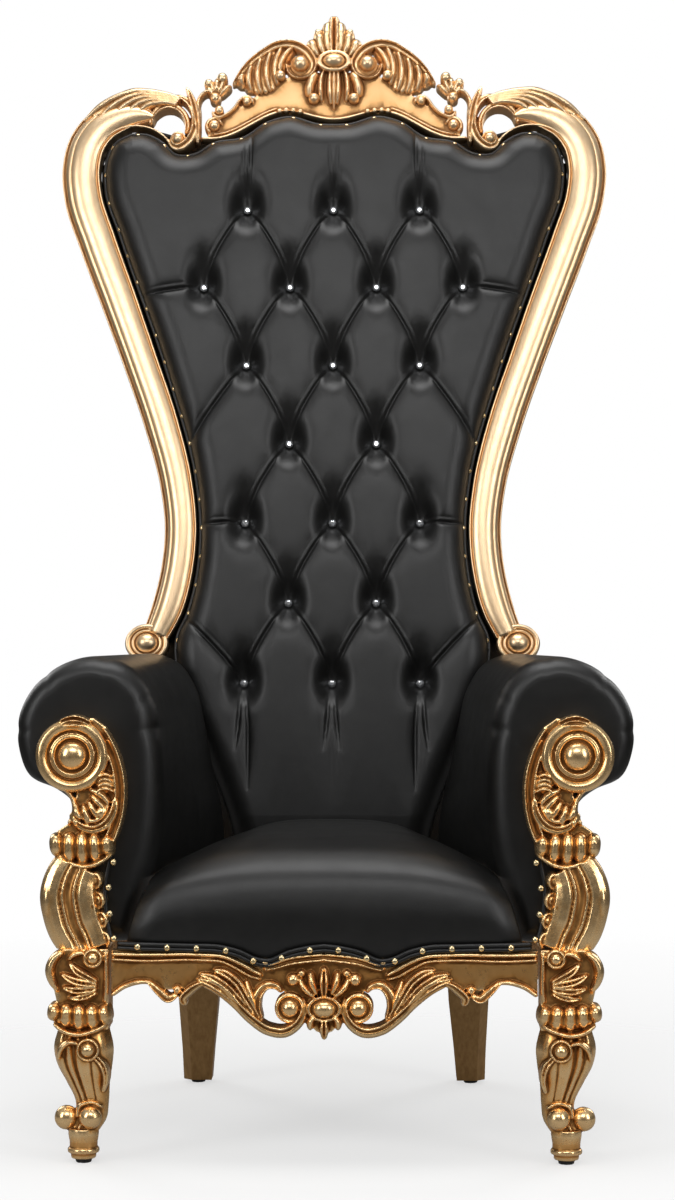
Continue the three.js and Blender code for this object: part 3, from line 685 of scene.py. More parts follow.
def finial_shells():
    back, low = BACK_REAR + 4, CREST_BOARD - 4
    carve = carver(low, back)
    half = [
        # plume above the cabochon
        *fan(bend((5, 1314), (24, 1312), 0), bend((9, 1375), (38, 1345), 2), (-5, -4), 3,
             [11, 19, 22, 17], [17, 22, 24, 17], low, back),
        *fan(bend((5, 1314), (24, 1312), 0), bend((6, 1366), (30, 1340), 2), (-3, -3), 3,
             [16, 24, 24, 18], [12, 15, 15, 11], low, back),
        pearl(27, 1354, 6.5, 7, back),
        # skirt below it, ending in a fat curled lobe
        *fan(bend((6, 1289), (18, 1289), 0), bend((5, 1230), (20, 1234), 0), (2, 4), 2,
             [8, 10, 11, 6], [15, 20, 18, 9], low, back),
        carve(bend((28, 1287), (41, 1242), 6), [12, 18, 18, 14], [15, 20, 19, 13]),
        knob(34, 1240, dome(9.3, -5, 6), back, sides=28),
    ]
    middle = [
        carve([(0, 1314), (0, 1350), (0, 1386)], [14, 24, 18], [18, 26, 18], LEAF),
        carve([(0, 1289), (0, 1255), (0, 1221)], [9, 10, 5], [17, 22, 9]),
        knob(0, 1304, [(29, -6), (29, 2), (27, 5), (22, 5.5), (20.4, 1), (19.6, -1), *dome(18.6, 1, 16)],
             back, squash=0.66, sides=56),
    ]
    return both_sides(half) + middle


def add_crest():
    mesh = fuse(crest_shells(), 125000)
    show("crest_carved", mesh, GOLD, True, True, ["crest_rail"])


# ---------------------------------------------------------------- stiles
STILE_LINE = [
    (292, 322, 44), (275, 362, 52), (258, 432, 54), (253, 504, 54), (261, 575, 55), (288, 680, 58),
    (324, 785, 59), (361, 888, 62), (399, 991, 64), (424, 1068, 65), (428, 1120, 65), (418, 1163, 64),
    (394, 1194, 62), (362, 1211, 58), (334, 1215, 46), (316, 1211, 30), (304, 1206, 12),
]
# Across the stile from its inner edge to its outer one: bead, broad face, hollow, small face, fillet.
STILE_SECTION = np.array([
    (-1, -14), (-0.995, -3), (-0.97, 0.6), (-0.93, 1.8), (-0.885, 0.8), (-0.865, -1.6), (-0.85, -2.6),
    (-0.835, -1.6), (-0.80, 0.9), (-0.72, 3.0), (-0.55, 5.6), (-0.35, 7.3), (-0.12, 8), (0.1, 7.4),
    (0.28, 5.8), (0.42, 3.4), (0.48, 1.9), (0.505, 1.5), (0.53, 1.9), (0.6, 1.6), (0.7, -0.4),
    (0.78, -3.2), (0.81, -6.2), (0.85, -8.2), (0.9, -8.6), (0.925, -7.4), (0.95, -6.8), (0.98, -7.6),
    (1, -10), (1, -15)])


def stile_moulding():
    path = smooth_path(STILE_LINE, 4)
    centre, half = path[:, :2], path[:, 2] / 2
    across = right_of(centre)
    place = np.concatenate((STILE_SECTION[:, 0], [1, 0.93, -0.93, -1]))
    depth = np.concatenate((STILE_SECTION[:, 1], [BACK_REAR + 5, BACK_REAR, BACK_REAR, BACK_REAR + 5]))
    flat = centre[:, None] + across[:, None] * place[None, :, None] * half[:, None, None]
    rings = np.dstack((flat, np.broadcast_to(depth, flat.shape[:2])))
    return skin(rings)


SHOULDER_PEARL = (264, 1168)
# The nested fingers: where the outermost one starts, tops out and ends, and the step to the next.
FINGERS = 5
FINGER_ROOT, ROOT_STEP = np.array((258, 1237)), np.array((2, -3))
FINGER_TOP, TOP_STEP = np.array((334, 1251)), np.array((-7, -5.5))
FINGER_TIP, TIP_STEP = np.array((424, 1200)), np.array((-23, -1))


def shoulder_shells():
    back, low = BACK_REAR + 4, -8
    carve = carver(low, back)
    def finger(order):
        root, top, tip = (FINGER_ROOT + order * ROOT_STEP, FINGER_TOP + order * TOP_STEP,
                          FINGER_TIP + order * TIP_STEP)
        line = np.vstack((bend(root, top, 3), bend(top, tip, 10)[1:]))
        return carve(line, [8, 13, 15, 15, 14, 13, 7], [17, 20, 20, 19, 17, 15, 9])

    round_pearl = oval(SHOULDER_PEARL, 15, 16, -80, 5, 6)
    return [
        # outer C, which ends round the pearl, and inner C round the opening
        carve(np.vstack((oval((270, 1197), 36, 46, 80, 258), round_pearl)),
              [8, 13, 15, 15, 13, 9, 7], [13, 20, 21, 19, 17, 12, 9], ROLL),
        knob(*SHOULDER_PEARL, [(13, -4), (13, 2), (11.5, 4), (10.5, 2), *dome(9.5, 3, 13)], back,
             sides=28),
        carve(oval((280, 1192), 32, 34, 5, 205), [8, 14, 14, 12, 7], [12, 19, 19, 16, 9], ROLL),
        # leaf over the shoulder: its body, then its nested fingers
        carve(bend((262, 1230), (410, 1207), 20), [14, 34, 44, 34, 14], [12, 14, 14, 13, 10]),
        *(finger(order) for order in range(FINGERS)),
        # upright acanthus beside the crest, and the bead from the stile to the pearl
        carve(bend((251, 1260), (231, 1160), -7), [5, 14, 14, 11, 5], [9, 18, 19, 17, 8], LEAF),
        carve(oval((336, 1134), 66, 57, 2, 152, 16), [5.5, 5.5], [10, 12, 12, 9]),
    ]


def foot_volute():
    """Disc, rings and ball where the stile ends above the arm."""
    return knob(307, 307, [(36, -4), (35.5, 1), (33, 3.5), (29.5, 3), (27.5, 0), (26, -1), (24.5, 1.5),
                           (22.5, 2.5), (20.5, 0), (19, -1), *dome(18, 0, 15, 9)],
                BACK_REAR + 2, squash=0.88, sides=64)


def add_stiles():
    moulded = outward(make_mesh([stile_moulding(), foot_volute()]))
    carved = fuse(shoulder_shells(), 50000)
    show_pair("stile", merge(moulded, carved), GOLD, True, True)


# ---------------------------------------------------------------- arm fronts
# The inner edge is one arc that bows towards the seat, up to the corner by the roll.
PANEL_CENTRE, PANEL_RADIUS, PANEL_FROM, PANEL_TO, PANEL_TOP = (456, 542), 166, 214, 144.5, (340, 652)


def panel_arc(inset, start=PANEL_FROM, end=PANEL_TO, count=16):
    reach = PANEL_RADIUS - inset
    return oval(PANEL_CENTRE, reach, reach, start, end, count)


PANEL_INNER = np.vstack((panel_arc(0), PANEL_TOP))
PANEL_OUTER = [(370, 645), (415, 600), (382, 549), (364, 543), (365, 520), (374, 498), (392, 486),
               (398, 470), (394, 447)]
POST = mirrored([(-1, 0), (-0.97, 0.5), (-0.86, 0.82), (-0.62, 0.97), (-0.4, 1), (-0.32, 0.9),
                 (-0.28, 0.72), (-0.24, 0.9), (-0.18, 0.96), (-0.1, 0.78), (0, 0.74)])
CLEAF = (341, 530)           # middle of the leaf scroll under the volute
CURLS, CURL_STEP = 4, np.array((-4.5, -29))   # curled leaves down the post's inner side


def arm_front_shells():
    back, low = ARM_BACK + 3, ARM_FACE - 4
    face = ARM_FACE
    carve = carver(low, back)
    volute = [(54, face + 1), (53, face + 6), (49, face + 10), (44, face + 11), (39, face + 8.5),
              (35.5, face + 2), (34, face + 2), (32.5, face + 6), (30.5, face + 4), (28.5, face + 6.5),
              (26, face + 5), (24, face + 1), *dome(21.4, face + 2, face + 18, 9)]
    roll = [carve(oval((321, 541 + 7 * i), 13 - i, 8, 15, 165), [5, 6.5, 5], [15, 18, 14])
            for i in range(4)]
    first = np.array((339, 414))
    curls = [carve(oval(first + i * CURL_STEP, reach, 0.8 * reach + 3, 95, 250), wide, rise)
             for i in range(CURLS)
             for reach, wide, rise in ((11, [6, 10, 6], [14, 20, 13]), (5, [4, 6, 4], [12, 16, 11]))]
    return [
        board(np.vstack((PANEL_INNER, PANEL_OUTER)), ARM_BACK, ARM_FACE - 3),
        knob(370, 597, volute, ARM_BACK, sides=80),
        # fold over the volute's band
        carve(bend((342, 643), (389, 645), 8), [7, 10, 7], [14, 21, 14], SCOOP),
        carve(bend((346, 638), (387, 638), 4), [4, 6, 4], [14, 20, 14]),
        # edge bead, hollow channel and its inner line
        carve(panel_arc(3), [4.5, 4.5], [12, 12]),
        carve(panel_arc(10, 208, 150), [10, 10], [7, 7], SCOOP),
        carve(panel_arc(16, 205, 152), [4, 4], [11, 11]),
        carve(bend((384, 550), (376, 496), -13), [6, 8, 6], [8, 10, 8]),
        # leaf scroll with its ridged roll
        knob(321, 556, dome(14, face + 2, face + 11), back, sides=32),
        *roll,
        carve(oval(CLEAF, 35, 42, 172, 335, 14), [9, 14, 16, 16, 13, 7], [13, 17, 18, 17, 15, 9], ROLL),
        carve(oval(CLEAF, 24, 29, 185, 320), [6, 9, 9, 6], [12, 15, 15, 10]),
        pearl(327, 514, 8.5, face + 13, back),
        *fan(oval(CLEAF, 26, 30, 190, 300), oval((358, 540), 14, 14, 150, 290), (5, -5), 5,
             [9, 13, 12, 6], [13, 16, 15, 9], low, back),
        *fan(bend((346, 492), (364, 492), 0), bend((357, 516), (371, 508), 0), (2, 2), 2,
             [7, 10, 5], [12, 15, 9], low, back),
        # lobed cuff over its rolled edge
        *fan(bend((322, 480), (391, 483), 3), bend((320, 450), (388, 450), -13), (-3, 4), 5,
             [17, 21, 21, 17], [18, 23, 22, 14], low, back),
        carve(bend((318, 466), (388, 467), -6), [30, 34, 30], [15, 16, 15]),
        carve(bend((309, 456), (394, 456), -21), [7, 10, 10, 7], [12, 18, 18, 12]),
        # post, its big outer lobe and the curled leaves on its inner side
        stroke([(350, RAIL_TOP - 3, 76, 21), (357, 330, 80, 22), (366, 349, 84, 25), (372, 371, 86, 26),
                (375, 393, 86, 26), (371, 415, 80, 24), (362, 436, 70, 20)],
               face - 6, ARM_BACK, POST, round_tips=False),
        carve(bend((400, 424), (399, 347), 5), [12, 22, 25, 22, 12], [15, 22, 24, 22, 15]),
        *fan(bend((384, 354), (396, 344), 0), bend((374, 320), (386, 322), 0), (0, 0), 2,
             [8, 11, 6], [16, 19, 10], low, back),
        *curls,
    ]


def keep_above(mesh, height):
    """Cuts away what is below a height, and closes the cut."""
    work = bmesh.new()
    work.from_mesh(mesh)
    everything = list(work.verts) + list(work.edges) + list(work.faces)
    cut = bmesh.ops.bisect_plane(work, geom=everything, plane_co=(0, height, 0), plane_no=(0, -1, 0),
                                 clear_outer=True)
    edges = [e for e in cut["geom_cut"] if isinstance(e, bmesh.types.BMEdge)]
    bmesh.ops.holes_fill(work, edges=edges)
    bmesh.ops.triangulate(work, faces=[f for f in work.faces if len(f.verts) > 4])
    work.to_mesh(mesh)
    work.free()


def add_arm_fronts():
    mesh = fuse(arm_front_shells(), 60000)
    keep_above(mesh, RAIL_TOP + 0.4)
    show_pair("arm_front", mesh, GOLD_DEEP, False, True)


# ---------------------------------------------------------------- front legs
LEG_STATIONS = [  # height, inner and outer edge, front and rear depth
    (44, 333, 375, 364, 326), (62, 321, 368, 361, 320), (88, 317, 366, 361, 317),
    (118, 315, 379, 369, 314), (144, 311, 392, 379, 310), (170, 309, 397, 383, 307),
    (200, 316, 390, 376, 305),
]


def leg_shell():
    levels = smooth_path([(z, 0, *rest) for z, *rest in LEG_STATIONS], 4)
    a = np.linspace(-1, 1, 41)
    fluted = 0.05 + 0.36 * np.abs(a) ** 4
    for middle, wide, deep in ((0.30, 0.09, 0.10), (0.62, 0.09, 0.10), (-0.28, 0.05, 0.05)):
        fluted = fluted + deep * np.exp(-((a - middle) / wide) ** 2)
    rings = []
    for z, _, inner, outer, front, rear in levels:
        middle, half = (inner + outer) / 2, (outer - inner) / 2
        face = np.column_stack((middle + a * half, np.full(len(a), z), front + fluted * (rear - front)))
        feet = [(middle + 0.85 * half, z, rear), (middle - 0.85 * half, z, rear)]
        rings.append(np.vstack((face, feet)))
    return skin(rings)


def turned(across, depth, profile, sides):
    """Upright turned work: (radius, height) from one end to the other."""
    angle = circle(sides)
    return skin([np.column_stack((across + radius * np.cos(angle), np.full(sides, height),
                                  depth + radius * np.sin(angle))) for radius, height in profile])


def round_ball(across, height, depth, radius):
    tilts = np.linspace(-math.pi / 2 + 0.02, math.pi / 2 - 0.02, 14)
    profile = [(radius * math.cos(tilt), height + radius * math.sin(tilt)) for tilt in tilts]
    return turned(across, depth, profile, 24)


# The round foot under the carving, above the glide: radius and height.
PLUG = [(17.5, 6.4), (18.5, 8), (18.5, 12), (19.5, 14), (23, 15), (23.5, 18), (23, 21), (20.5, 22.5),
        (20.5, 30), (22.5, 42), (22, 50)]


def front_leg_shells():
    back, low = LEG_FACE - 34, LEG_FACE - 8
    carve = carver(low, back)
    block = [(315, 198), (315, RAIL_TOP + 1), (386, RAIL_TOP + 1), (400, 297), (405, 281), (396, 262),
             (391, 240), (399, 224), (388, 198)]
    return [
        leg_shell(),
        board(block, LEG_BACK, LEG_FACE - 6),
        # volute at the top of the block
        knob(337, 303, [(14, 372), (14, 382), (11.5, 384), (10, 381), *dome(8.5, 380, 388)], back),
        carve([(349, 310), (362, 309), (374, 300)], [6, 9, 6], [9, 12, 9]),
        # fan of leaves
        carve([(330, 268), (345, 276), (362, 286), (372, 296)], [7, 12, 12, 5], [14, 18, 17, 9], LEAF),
        carve([(330, 264), (348, 267), (368, 272), (384, 280)], [7, 13, 13, 5], [15, 19, 18, 9], LEAF),
        carve([(330, 259), (348, 257), (367, 257), (382, 260)], [7, 12, 12, 5], [14, 18, 17, 9], LEAF),
        carve([(331, 254), (345, 248), (360, 245), (373, 245)], [7, 10, 10, 5], [13, 16, 15, 8], LEAF),
        # outer leaf and inner edge moulding
        carve([(380, 313), (393, 303), (400, 286), (396, 268), (388, 254)], [8, 13, 15, 13, 6],
              [10, 16, 17, 15, 8]),
        carve([(319, 310), (318, 285), (318, 258), (320, 238)], [6, 7, 7, 6], [7, 9, 9, 7]),
        # lobed cuff
        *fan(bend((325, 234), (389, 235), 2), bend((321, 206), (391, 212), -11), (-3, 4), 5,
             [17, 21, 21, 17], [17, 22, 21, 14], low, back),
        carve(bend((322, 220), (390, 221), -5), [28, 32, 28], [14, 15, 14]),
        carve([(317, 206), (336, 197), (360, 192), (382, 198), (395, 208)], [7, 9, 10, 9, 7],
              [11, 15, 17, 15, 11]),
        # knee volute
        knob(344, 170, [(17, 376), (17, 384), (14.5, 387), (12.5, 384), *dome(10.5, 383, 395)], back),
        carve([(334, 160), (322, 146), (318, 126), (323, 106)], [10, 12, 9, 5], [12, 13, 9, 5], LEAF),
        carve([(357, 178), (372, 180), (384, 170), (388, 154)], [7, 9, 9, 5], [11, 13, 12, 7]),
        # foot: rings, balls, turned plug
        round_ball(342, 68, 361, 17),
        round_ball(379, 65, 344, 18),
        round_ball(350, 62, 330, 17),
        stroke(widths([(324, 82), (340, 90), (358, 84), (363, 66)], [7, 8, 8, 6], [12, 14, 13, 9]),
               350, 335),
        turned(354, FRONT_GLIDE_DEPTH * 1000, PLUG, 48),
    ]


def add_front_legs():
    mesh = fuse(front_leg_shells(), 52000)
    show_pair("front_leg", mesh, GOLD_DEEP, False, True)


# ---------------------------------------------------------------- front rail
APRON_TOP = [(0, 311), (24, 308), (50, 302), (84, 288), (101, 292), (123, 302), (150, 310), (200, 312),
             (311, 314)]
APRON_EDGE = [(311, 250), (290, 263), (248, 266), (228, 256), (205, 258), (178, 266), (152, 252),
              (102, 213)]
APRON_MIDDLE = [(97, 226), (94, 250), (82, 262), (66, 257), (45, 250), (28, 215), (12, 196), (0, 192)]


def apron_shells():
    back, low = APRON_BACK + 2, APRON_FACE - 4
    carve = carver(low, back)
    half = [
        board([*APRON_TOP, *APRON_EDGE, *APRON_MIDDLE], APRON_BACK, APRON_FACE - 2),
        # top moulding in two beads, its end curling to the middle
        carve([(311, 309), (268, 308), (181, 308), (145, 305), (123, 296), (101, 284), (90, 278)],
              [7, 7, 7, 7, 7, 7, 5], [12, 12, 12, 12, 12, 12, 9]),
        carve([(311, 301), (268, 299), (181, 300), (147, 297), (128, 288), (106, 276), (92, 272)],
              [5, 5, 5, 5, 5, 5, 4], [8, 8, 8, 8, 8, 8, 6]),
        carve([(88, 288), (72, 292), (50, 299), (21, 303), (-2, 305)], [8, 10, 12, 12, 12],
              [9, 12, 13, 13, 13], SCOOP),
        pearl(86, 296, 5, APRON_FACE + 6, back),
        # shell fronds round the middle
        carve([(10, 250), (18, 270), (20, 285)], [8, 13, 9], [17, 22, 15]),
        carve([(14, 247), (30, 262), (36, 275)], [8, 12, 8], [16, 20, 14]),
        pearl(45, 272, 9, APRON_FACE + 12, back),
        pearl(33, 281, 5.5, APRON_FACE + 8, back),
        # beard below the cabochon
        carve([(12, 222), (20, 210), (20, 198)], [8, 12, 8], [13, 17, 12]),
        # volute ball inside the crescent opening
        knob(50, 231, [(22, 374), (22, 379), (19, 381), (16.5, 379), (15, 377), *dome(13.5, 378, 391)],
             back),
        # the great leaf's lower rim
        carve([(31, 246), (29, 227), (38, 208), (57, 196), (82, 199), (105, 214), (130, 237), (155, 255),
               (177, 264)],
              [8, 12, 15, 18, 18, 17, 15, 12, 6], [13, 16, 19, 21, 21, 20, 18, 14, 8], ROLL),
        # curl round the opening
        carve([(91, 212), (98, 233), (95, 253), (83, 264), (69, 262), (61, 253)],
              [8, 14, 16, 13, 10, 6], [15, 19, 20, 19, 15, 10], ROLL),
        # fronds of the leaf that sweep outward
        carve([(91, 208), (111, 243), (129, 271), (148, 283), (162, 285)], [8, 12, 14, 12, 6],
              [13, 18, 18, 14, 7], LEAF),
        carve([(101, 215), (123, 243), (145, 265), (166, 276), (182, 279)], [8, 11, 13, 11, 6],
              [12, 17, 17, 13, 7], LEAF),
        carve([(96, 218), (106, 248), (114, 272)], [7, 10, 6], [12, 17, 10]),
        carve([(111, 223), (137, 247), (163, 265), (186, 272)], [7, 11, 12, 6], [11, 16, 15, 7], LEAF),
        # rolled leaves along the lower edge
        carve([(258, 270), (249, 262), (238, 252), (227, 244), (214, 250)], [6, 10, 13, 13, 7],
              [9, 13, 16, 16, 10], ROLL),
        carve([(172, 267), (184, 263), (197, 254), (206, 243), (201, 234)], [6, 10, 13, 12, 7],
              [9, 13, 16, 16, 10], ROLL),
        pearl(214, 257, 6, APRON_FACE + 8, back),
        carve([(311, 248), (290, 262), (268, 268), (250, 267)], [7, 8, 8, 6], [8, 10, 10, 7]),
    ]
    middle = [
        carve([(0, 246), (0, 268), (0, 291)], [9, 15, 9], [18, 24, 15], LEAF),
        carve([(0, 216), (0, 200), (0, 184)], [9, 14, 7], [14, 19, 9], LEAF),
        knob(0, 230, [(26, 372), (25.5, 379), (23, 382), (20.5, 380), (19, 377), *dome(17, 379, 392)],
             back, squash=0.74),
    ]
    return both_sides(half) + middle


def add_front_rail():
    mesh = fuse(apron_shells(), 95000)
    show("front_rail_carved", mesh, GOLD_DEEP, False, True, ["front_rail"])


# ---------------------------------------------------------------- tufted back
PAD_SIDE = [(150, -126), (165, 0), (205, 110), (243, 200), (258, 262), (258, 318), (242, 355), (225, 430),
            (221, 500), (229, 580), (280, 765), (359, 992), (387, 1080), (387, 1125), (370, 1163),
            (345, 1177)]
PAD_TOP = [(318, 1177), (290, 1163), (267, 1142), (238, 1142), (203, 1162), (154, 1171), (112, 1198),
           (78, 1207), (24, 1194), (0, 1193)]
EDGE_ROUNDING = 46


def button_places():
    places = []
    for row in range(ROWS):
        offsets = [-1, 0, 1] if row % 2 == 0 else [-0.5, 0.5]
        if row == ROWS - 2:
            offsets = [-1.5, *offsets, 1.5]
        places += [(k * PITCH, LOWEST + row * ROW) for k in offsets]
    return places


def s_line(start, end, bow, count=40):
    """A pleat that leaves its upper end sideways and comes down on the lower one."""
    t = np.linspace(0, 1, count)
    x = start[0] + (end[0] - start[0]) * (t + bow * t * (1 - t))
    z = start[1] + (end[1] - start[1]) * t
    return np.column_stack((x, z))


PIT_DEPTH = 33
CREASE_LINE = 2.2            # depth of the fine line down the middle of a crease
MOST_FOLD = 40               # no fold is deeper
# Reach of the dark hollow round a button: to each side, above it and below it.
PIT_SIDE, PIT_ABOVE, PIT_BELOW = 29, 60, 42


def creases():
    """Every crease as (line, depth, reach, pleat): depth and reach at its start, middle and end, and
    the height of the little pleat beside it."""
    found = []
    buttons = button_places()
    for x0, z0 in buttons:
        for x1, z1 in buttons:
            if abs(z0 - z1 - ROW) < 1 and abs(abs(x0 - x1) - PITCH / 2) < 1:
                found.append((s_line((x0, z0), (x1, z1), 0.5), (9, 8, 9), (13, 9, 13), 2.2))
    wide = 1.5 * PITCH
    edges = (((wide, LOWEST + 5 * ROW), (332, 890), 0.1), ((PITCH, LOWEST + 4 * ROW), (243, 630), 0.2),
             ((PITCH, LOWEST + 2 * ROW), (228, 503), 0.1), ((PITCH, LOWEST), (266, 366), -0.25))
    for start, end, bow in edges:
        found.append((s_line(start, end, bow), (10, 9, 6), (13, 9, 7), 2.0))
    top = LOWEST + (ROWS - 1) * ROW
    for x in (0, PITCH):
        for side, reach in ((-1, 150), (1, 108)):
            up = [(x + side, top + 20), (x + side * 5, top + 60), (x + side * 7, top + reach)]
            found.append((smooth_path(up, 4), (7, 5, 0), (7, 5, 4), 0))
        for side, reach in ((-1, 175), (1, 110)):
            down = [(x + side * 5, LOWEST - 26), (x + side * 8, LOWEST - 70),
                    (x + side * (8 if side < 0 else 13), LOWEST - reach)]
            found.append((smooth_path(down, 4), (8, 7, 1), (9, 7, 5), 0))
    return found


def along_line(points, line):
    """Distance of points from a dense line, and the share of its length at the nearest place."""
    best = np.full(len(points), 1e9)
    share = np.zeros(len(points))
    side = np.zeros(len(points))
    for i in range(len(line) - 1):
        a, b = line[i], line[i + 1]
        run = b - a
        t = np.clip(((points - a) @ run) / (run @ run), 0, 1)
        off = points - (a + t[:, None] * run)
        distance = np.hypot(off[:, 0], off[:, 1])
        closer = distance < best
        best[closer] = distance[closer]
        share[closer] = (i + t[closer]) / (len(line) - 1)
        side[closer] = np.sign(run[0] * off[closer, 1] - run[1] * off[closer, 0])
    return best, share, side


def pit_depths(points):
    """How far the leather is drawn in round the buttons."""
    drawn = np.zeros(len(points))
    for x, z in button_places():
        near = (abs(points[:, 0] - x) < 90) & (abs(points[:, 1] - z) < 130)
        up = points[near, 1] - z
        tall = np.where(up > 0, PIT_ABOVE, PIT_BELOW)
        g = np.hypot((points[near, 0] - x) / PIT_SIDE, up / tall)
        drawn[near] = np.maximum(drawn[near], PIT_DEPTH * np.exp(-(g / 0.78) ** 2.1))
    return drawn


def pad_depths(points, to_edge):
    """Depth of the leather over (across, height) places of the right half."""
    fold = pit_depths(points) ** 3
    fine = np.zeros(len(points))
    for line, depth, reach, pleat in creases():
        low, high = line.min(0) - 70, line.max(0) + 70
        near = np.all((points > low) & (points < high), axis=1)
        if not near.any():
            continue
        distance, share, side = along_line(points[near], line)
        amount = np.interp(share, (0, 0.5, 1), depth)
        wide = np.interp(share, (0, 0.5, 1), reach)
        fold[near] += (amount * np.exp(-distance / wide)) ** 3
        line_height = line[:, 1].max() - line[:, 1].min()
        seen = np.interp(share, (0, 0.12, 0.3, 0.6, 0.85, 1), (0.3, 0.8, 1, 1, 0.6, 0.3))
        if line_height < 1:
            continue
        fine[near] += CREASE_LINE * seen * np.exp(-(distance / 1.5) ** 2)
        upper = side * np.sign(line[-1, 0] - line[0, 0]) > 0
        swell = np.interp(share, (0, 0.22, 0.45, 0.72, 0.85), (0, 0.7, 1, 0.4, 0))
        fine[near] -= pleat * swell * np.exp(-((distance - 4.6) / 2.4) ** 2) * upper
        fine[near] += 0.5 * pleat * swell * np.exp(-((distance - 8.6) / 1.3) ** 2) * upper
    fold = np.cbrt(fold)
    shown = np.clip((points[:, 1] + 40) / 60, 0, 1)   # 0 where the seat hides the pad
    crown = PAD_FULL + 2 - 6 * (1 - shown)
    edge = np.clip(to_edge / EDGE_ROUNDING, 0, 1)
    rounded = np.sqrt(1 - (1 - edge) ** 2)
    deep = np.minimum(fold, MOST_FOLD) * np.clip(to_edge / 30, 0, 1) ** 0.5
    return PAD_EDGE + (crown - PAD_EDGE) * rounded - deep * shown - fine * rounded * shown


def pad_outline(step=4):
    side = smooth_path(PAD_SIDE, step)
    top = smooth_path([PAD_SIDE[-1], *PAD_TOP], step)
    return np.vstack((side, top[1:]))


def inside_rows(outline, xs, zs):
    """Which (height, across) grid places are inside a closed outline."""
    start, end = outline, np.roll(outline, -1, axis=0)
    inside = np.zeros((len(zs), len(xs)), bool)
    for r, z in enumerate(zs):
        crosses = (start[:, 1] <= z) != (end[:, 1] <= z)
        a, b = start[crosses], end[crosses]
        at = np.sort(a[:, 0] + (z - a[:, 1]) / (b[:, 1] - a[:, 1]) * (b[:, 0] - a[:, 0]))
        inside[r] = np.searchsorted(at, xs) % 2 == 1
    return inside


def nearest_distance(points, line):
    best = np.full(len(points), 1e9)
    for start in range(0, len(points), 20000):
        part = points[start:start + 20000]
        gaps = np.hypot(part[:, None, 0] - line[None, :, 0], part[:, None, 1] - line[None, :, 1])
        best[start:start + 20000] = gaps.min(1)
    return best


def sheet_from_grid(half_outline, spacing, depth_of, rear, edge_depth):
    """A closed pad over a symmetrical outline, with its face at depth_of(points, to_edge)."""
    high = half_outline[:, 0].max()
    xs = np.arange(0, high + spacing, spacing)
    zs = np.arange(half_outline[:, 1].min(), half_outline[:, 1].max() + spacing, spacing)
    closed = np.vstack((half_outline, [(-1, half_outline[-1, 1]), (-1, half_outline[0, 1])]))
    inside = inside_rows(closed, xs, zs)
    grid_x, grid_z = np.meshgrid(xs, zs)
    points = np.column_stack((grid_x.ravel(), grid_z.ravel()))
    to_edge = np.where(inside.ravel(), nearest_distance(points, half_outline), 0)
    depth = np.full(len(points), float(edge_depth))
    kept = inside.ravel()
    depth[kept] = depth_of(points[kept], to_edge[kept])
    depth = depth.reshape(inside.shape)
    cells = inside[:-1, :-1] & inside[1:, :-1] & inside[:-1, 1:] & inside[1:, 1:]
    # both halves, which share the middle column
    full_x = np.concatenate((-xs[:0:-1], xs))
    full_depth = np.hstack((depth[:, :0:-1], depth))
    full_cells = np.hstack((cells[:, ::-1], cells))
    gx, gz = np.meshgrid(full_x, zs)
    vertices = np.column_stack((gx.ravel(), gz.ravel(), full_depth.ravel()))
    width = len(full_x)
    rows, columns = np.nonzero(full_cells)
    first = rows * width + columns
    quads = np.column_stack((first, first + 1, first + 1 + width, first + width))
    used, index = np.unique(quads, return_inverse=True)
    mesh = bpy.data.meshes.new("pad")
    mesh.from_pydata(vertices[used].tolist(), [], index.reshape(quads.shape).tolist())
    work = bmesh.new()
    work.from_mesh(mesh)
    rim = [e for e in work.edges if e.is_boundary]
    for vertex in {v for e in rim for v in e.verts}:
        vertex.co.z = edge_depth
    skirt = bmesh.ops.extrude_edge_only(work, edges=rim)["geom"]
    for vertex in [v for v in skirt if isinstance(v, bmesh.types.BMVert)]:
        vertex.co.z = rear
    lower = [e for e in skirt if isinstance(e, bmesh.types.BMEdge) and e.is_boundary]
    bmesh.ops.holes_fill(work, edges=lower)
    bmesh.ops.recalc_face_normals(work, faces=work.faces)
    work.to_mesh(mesh)
    work.free()
    mesh.update()
    return mesh


def add_back_pad():
    mesh = sheet_from_grid(pad_outline(), 2.1, pad_depths, BACK_REAR + 2, PAD_EDGE)
    mesh = thin_out(mesh, 145000)
    pad = show("back_pad_leather", mesh, LEATHER, True, replaces=["back_pad"])


OUTSIDE_BACK = [(232, -126), (262, 60), (284, 200), (286, 262), (284, 318), (262, 372), (246, 420),
                (238, 500), (246, 580), (262, 660), (300, 780), (352, 920), (392, 1040), (402, 1110),
                (384, 1160), (330, 1190), (240, 1176), (120, 1206), (0, 1206)]
# How far behind the back's plane its rim is, and how far its rounded edge and its middle swell.
OUTSIDE_RIM, OUTSIDE_SWELL, OUTSIDE_CROWN = 35.5, 8.5, 1.5


def outside_depths(points, to_edge):
    edge = np.clip(to_edge / 22, 0, 1)
    return (OUTSIDE_RIM + OUTSIDE_SWELL * np.sqrt(1 - (1 - edge) ** 2)
            + OUTSIDE_CROWN * np.clip(to_edge / 150, 0, 1))


def add_outside_back():
    outline = smooth_path(OUTSIDE_BACK, 5)
    mesh = thin_out(sheet_from_grid(outline, 6, outside_depths, 34.4, OUTSIDE_RIM), 14000)
    # drawn facing forward: turned to face the rear
    set_vertices(mesh, vertex_array(mesh) * (1, 1, -1))
    mesh.flip_normals()
    show("outside_back_leather", mesh, LEATHER, True, replaces=["outside_back"])
    both = np.vstack((outline[::-1] * (-1, 1), outline[1:]))
    welt = tube(np.column_stack((both, np.full(len(both), -37.0))), 3.2)
    show("outside_back_welt", outward(make_mesh([welt])), LEATHER, True)


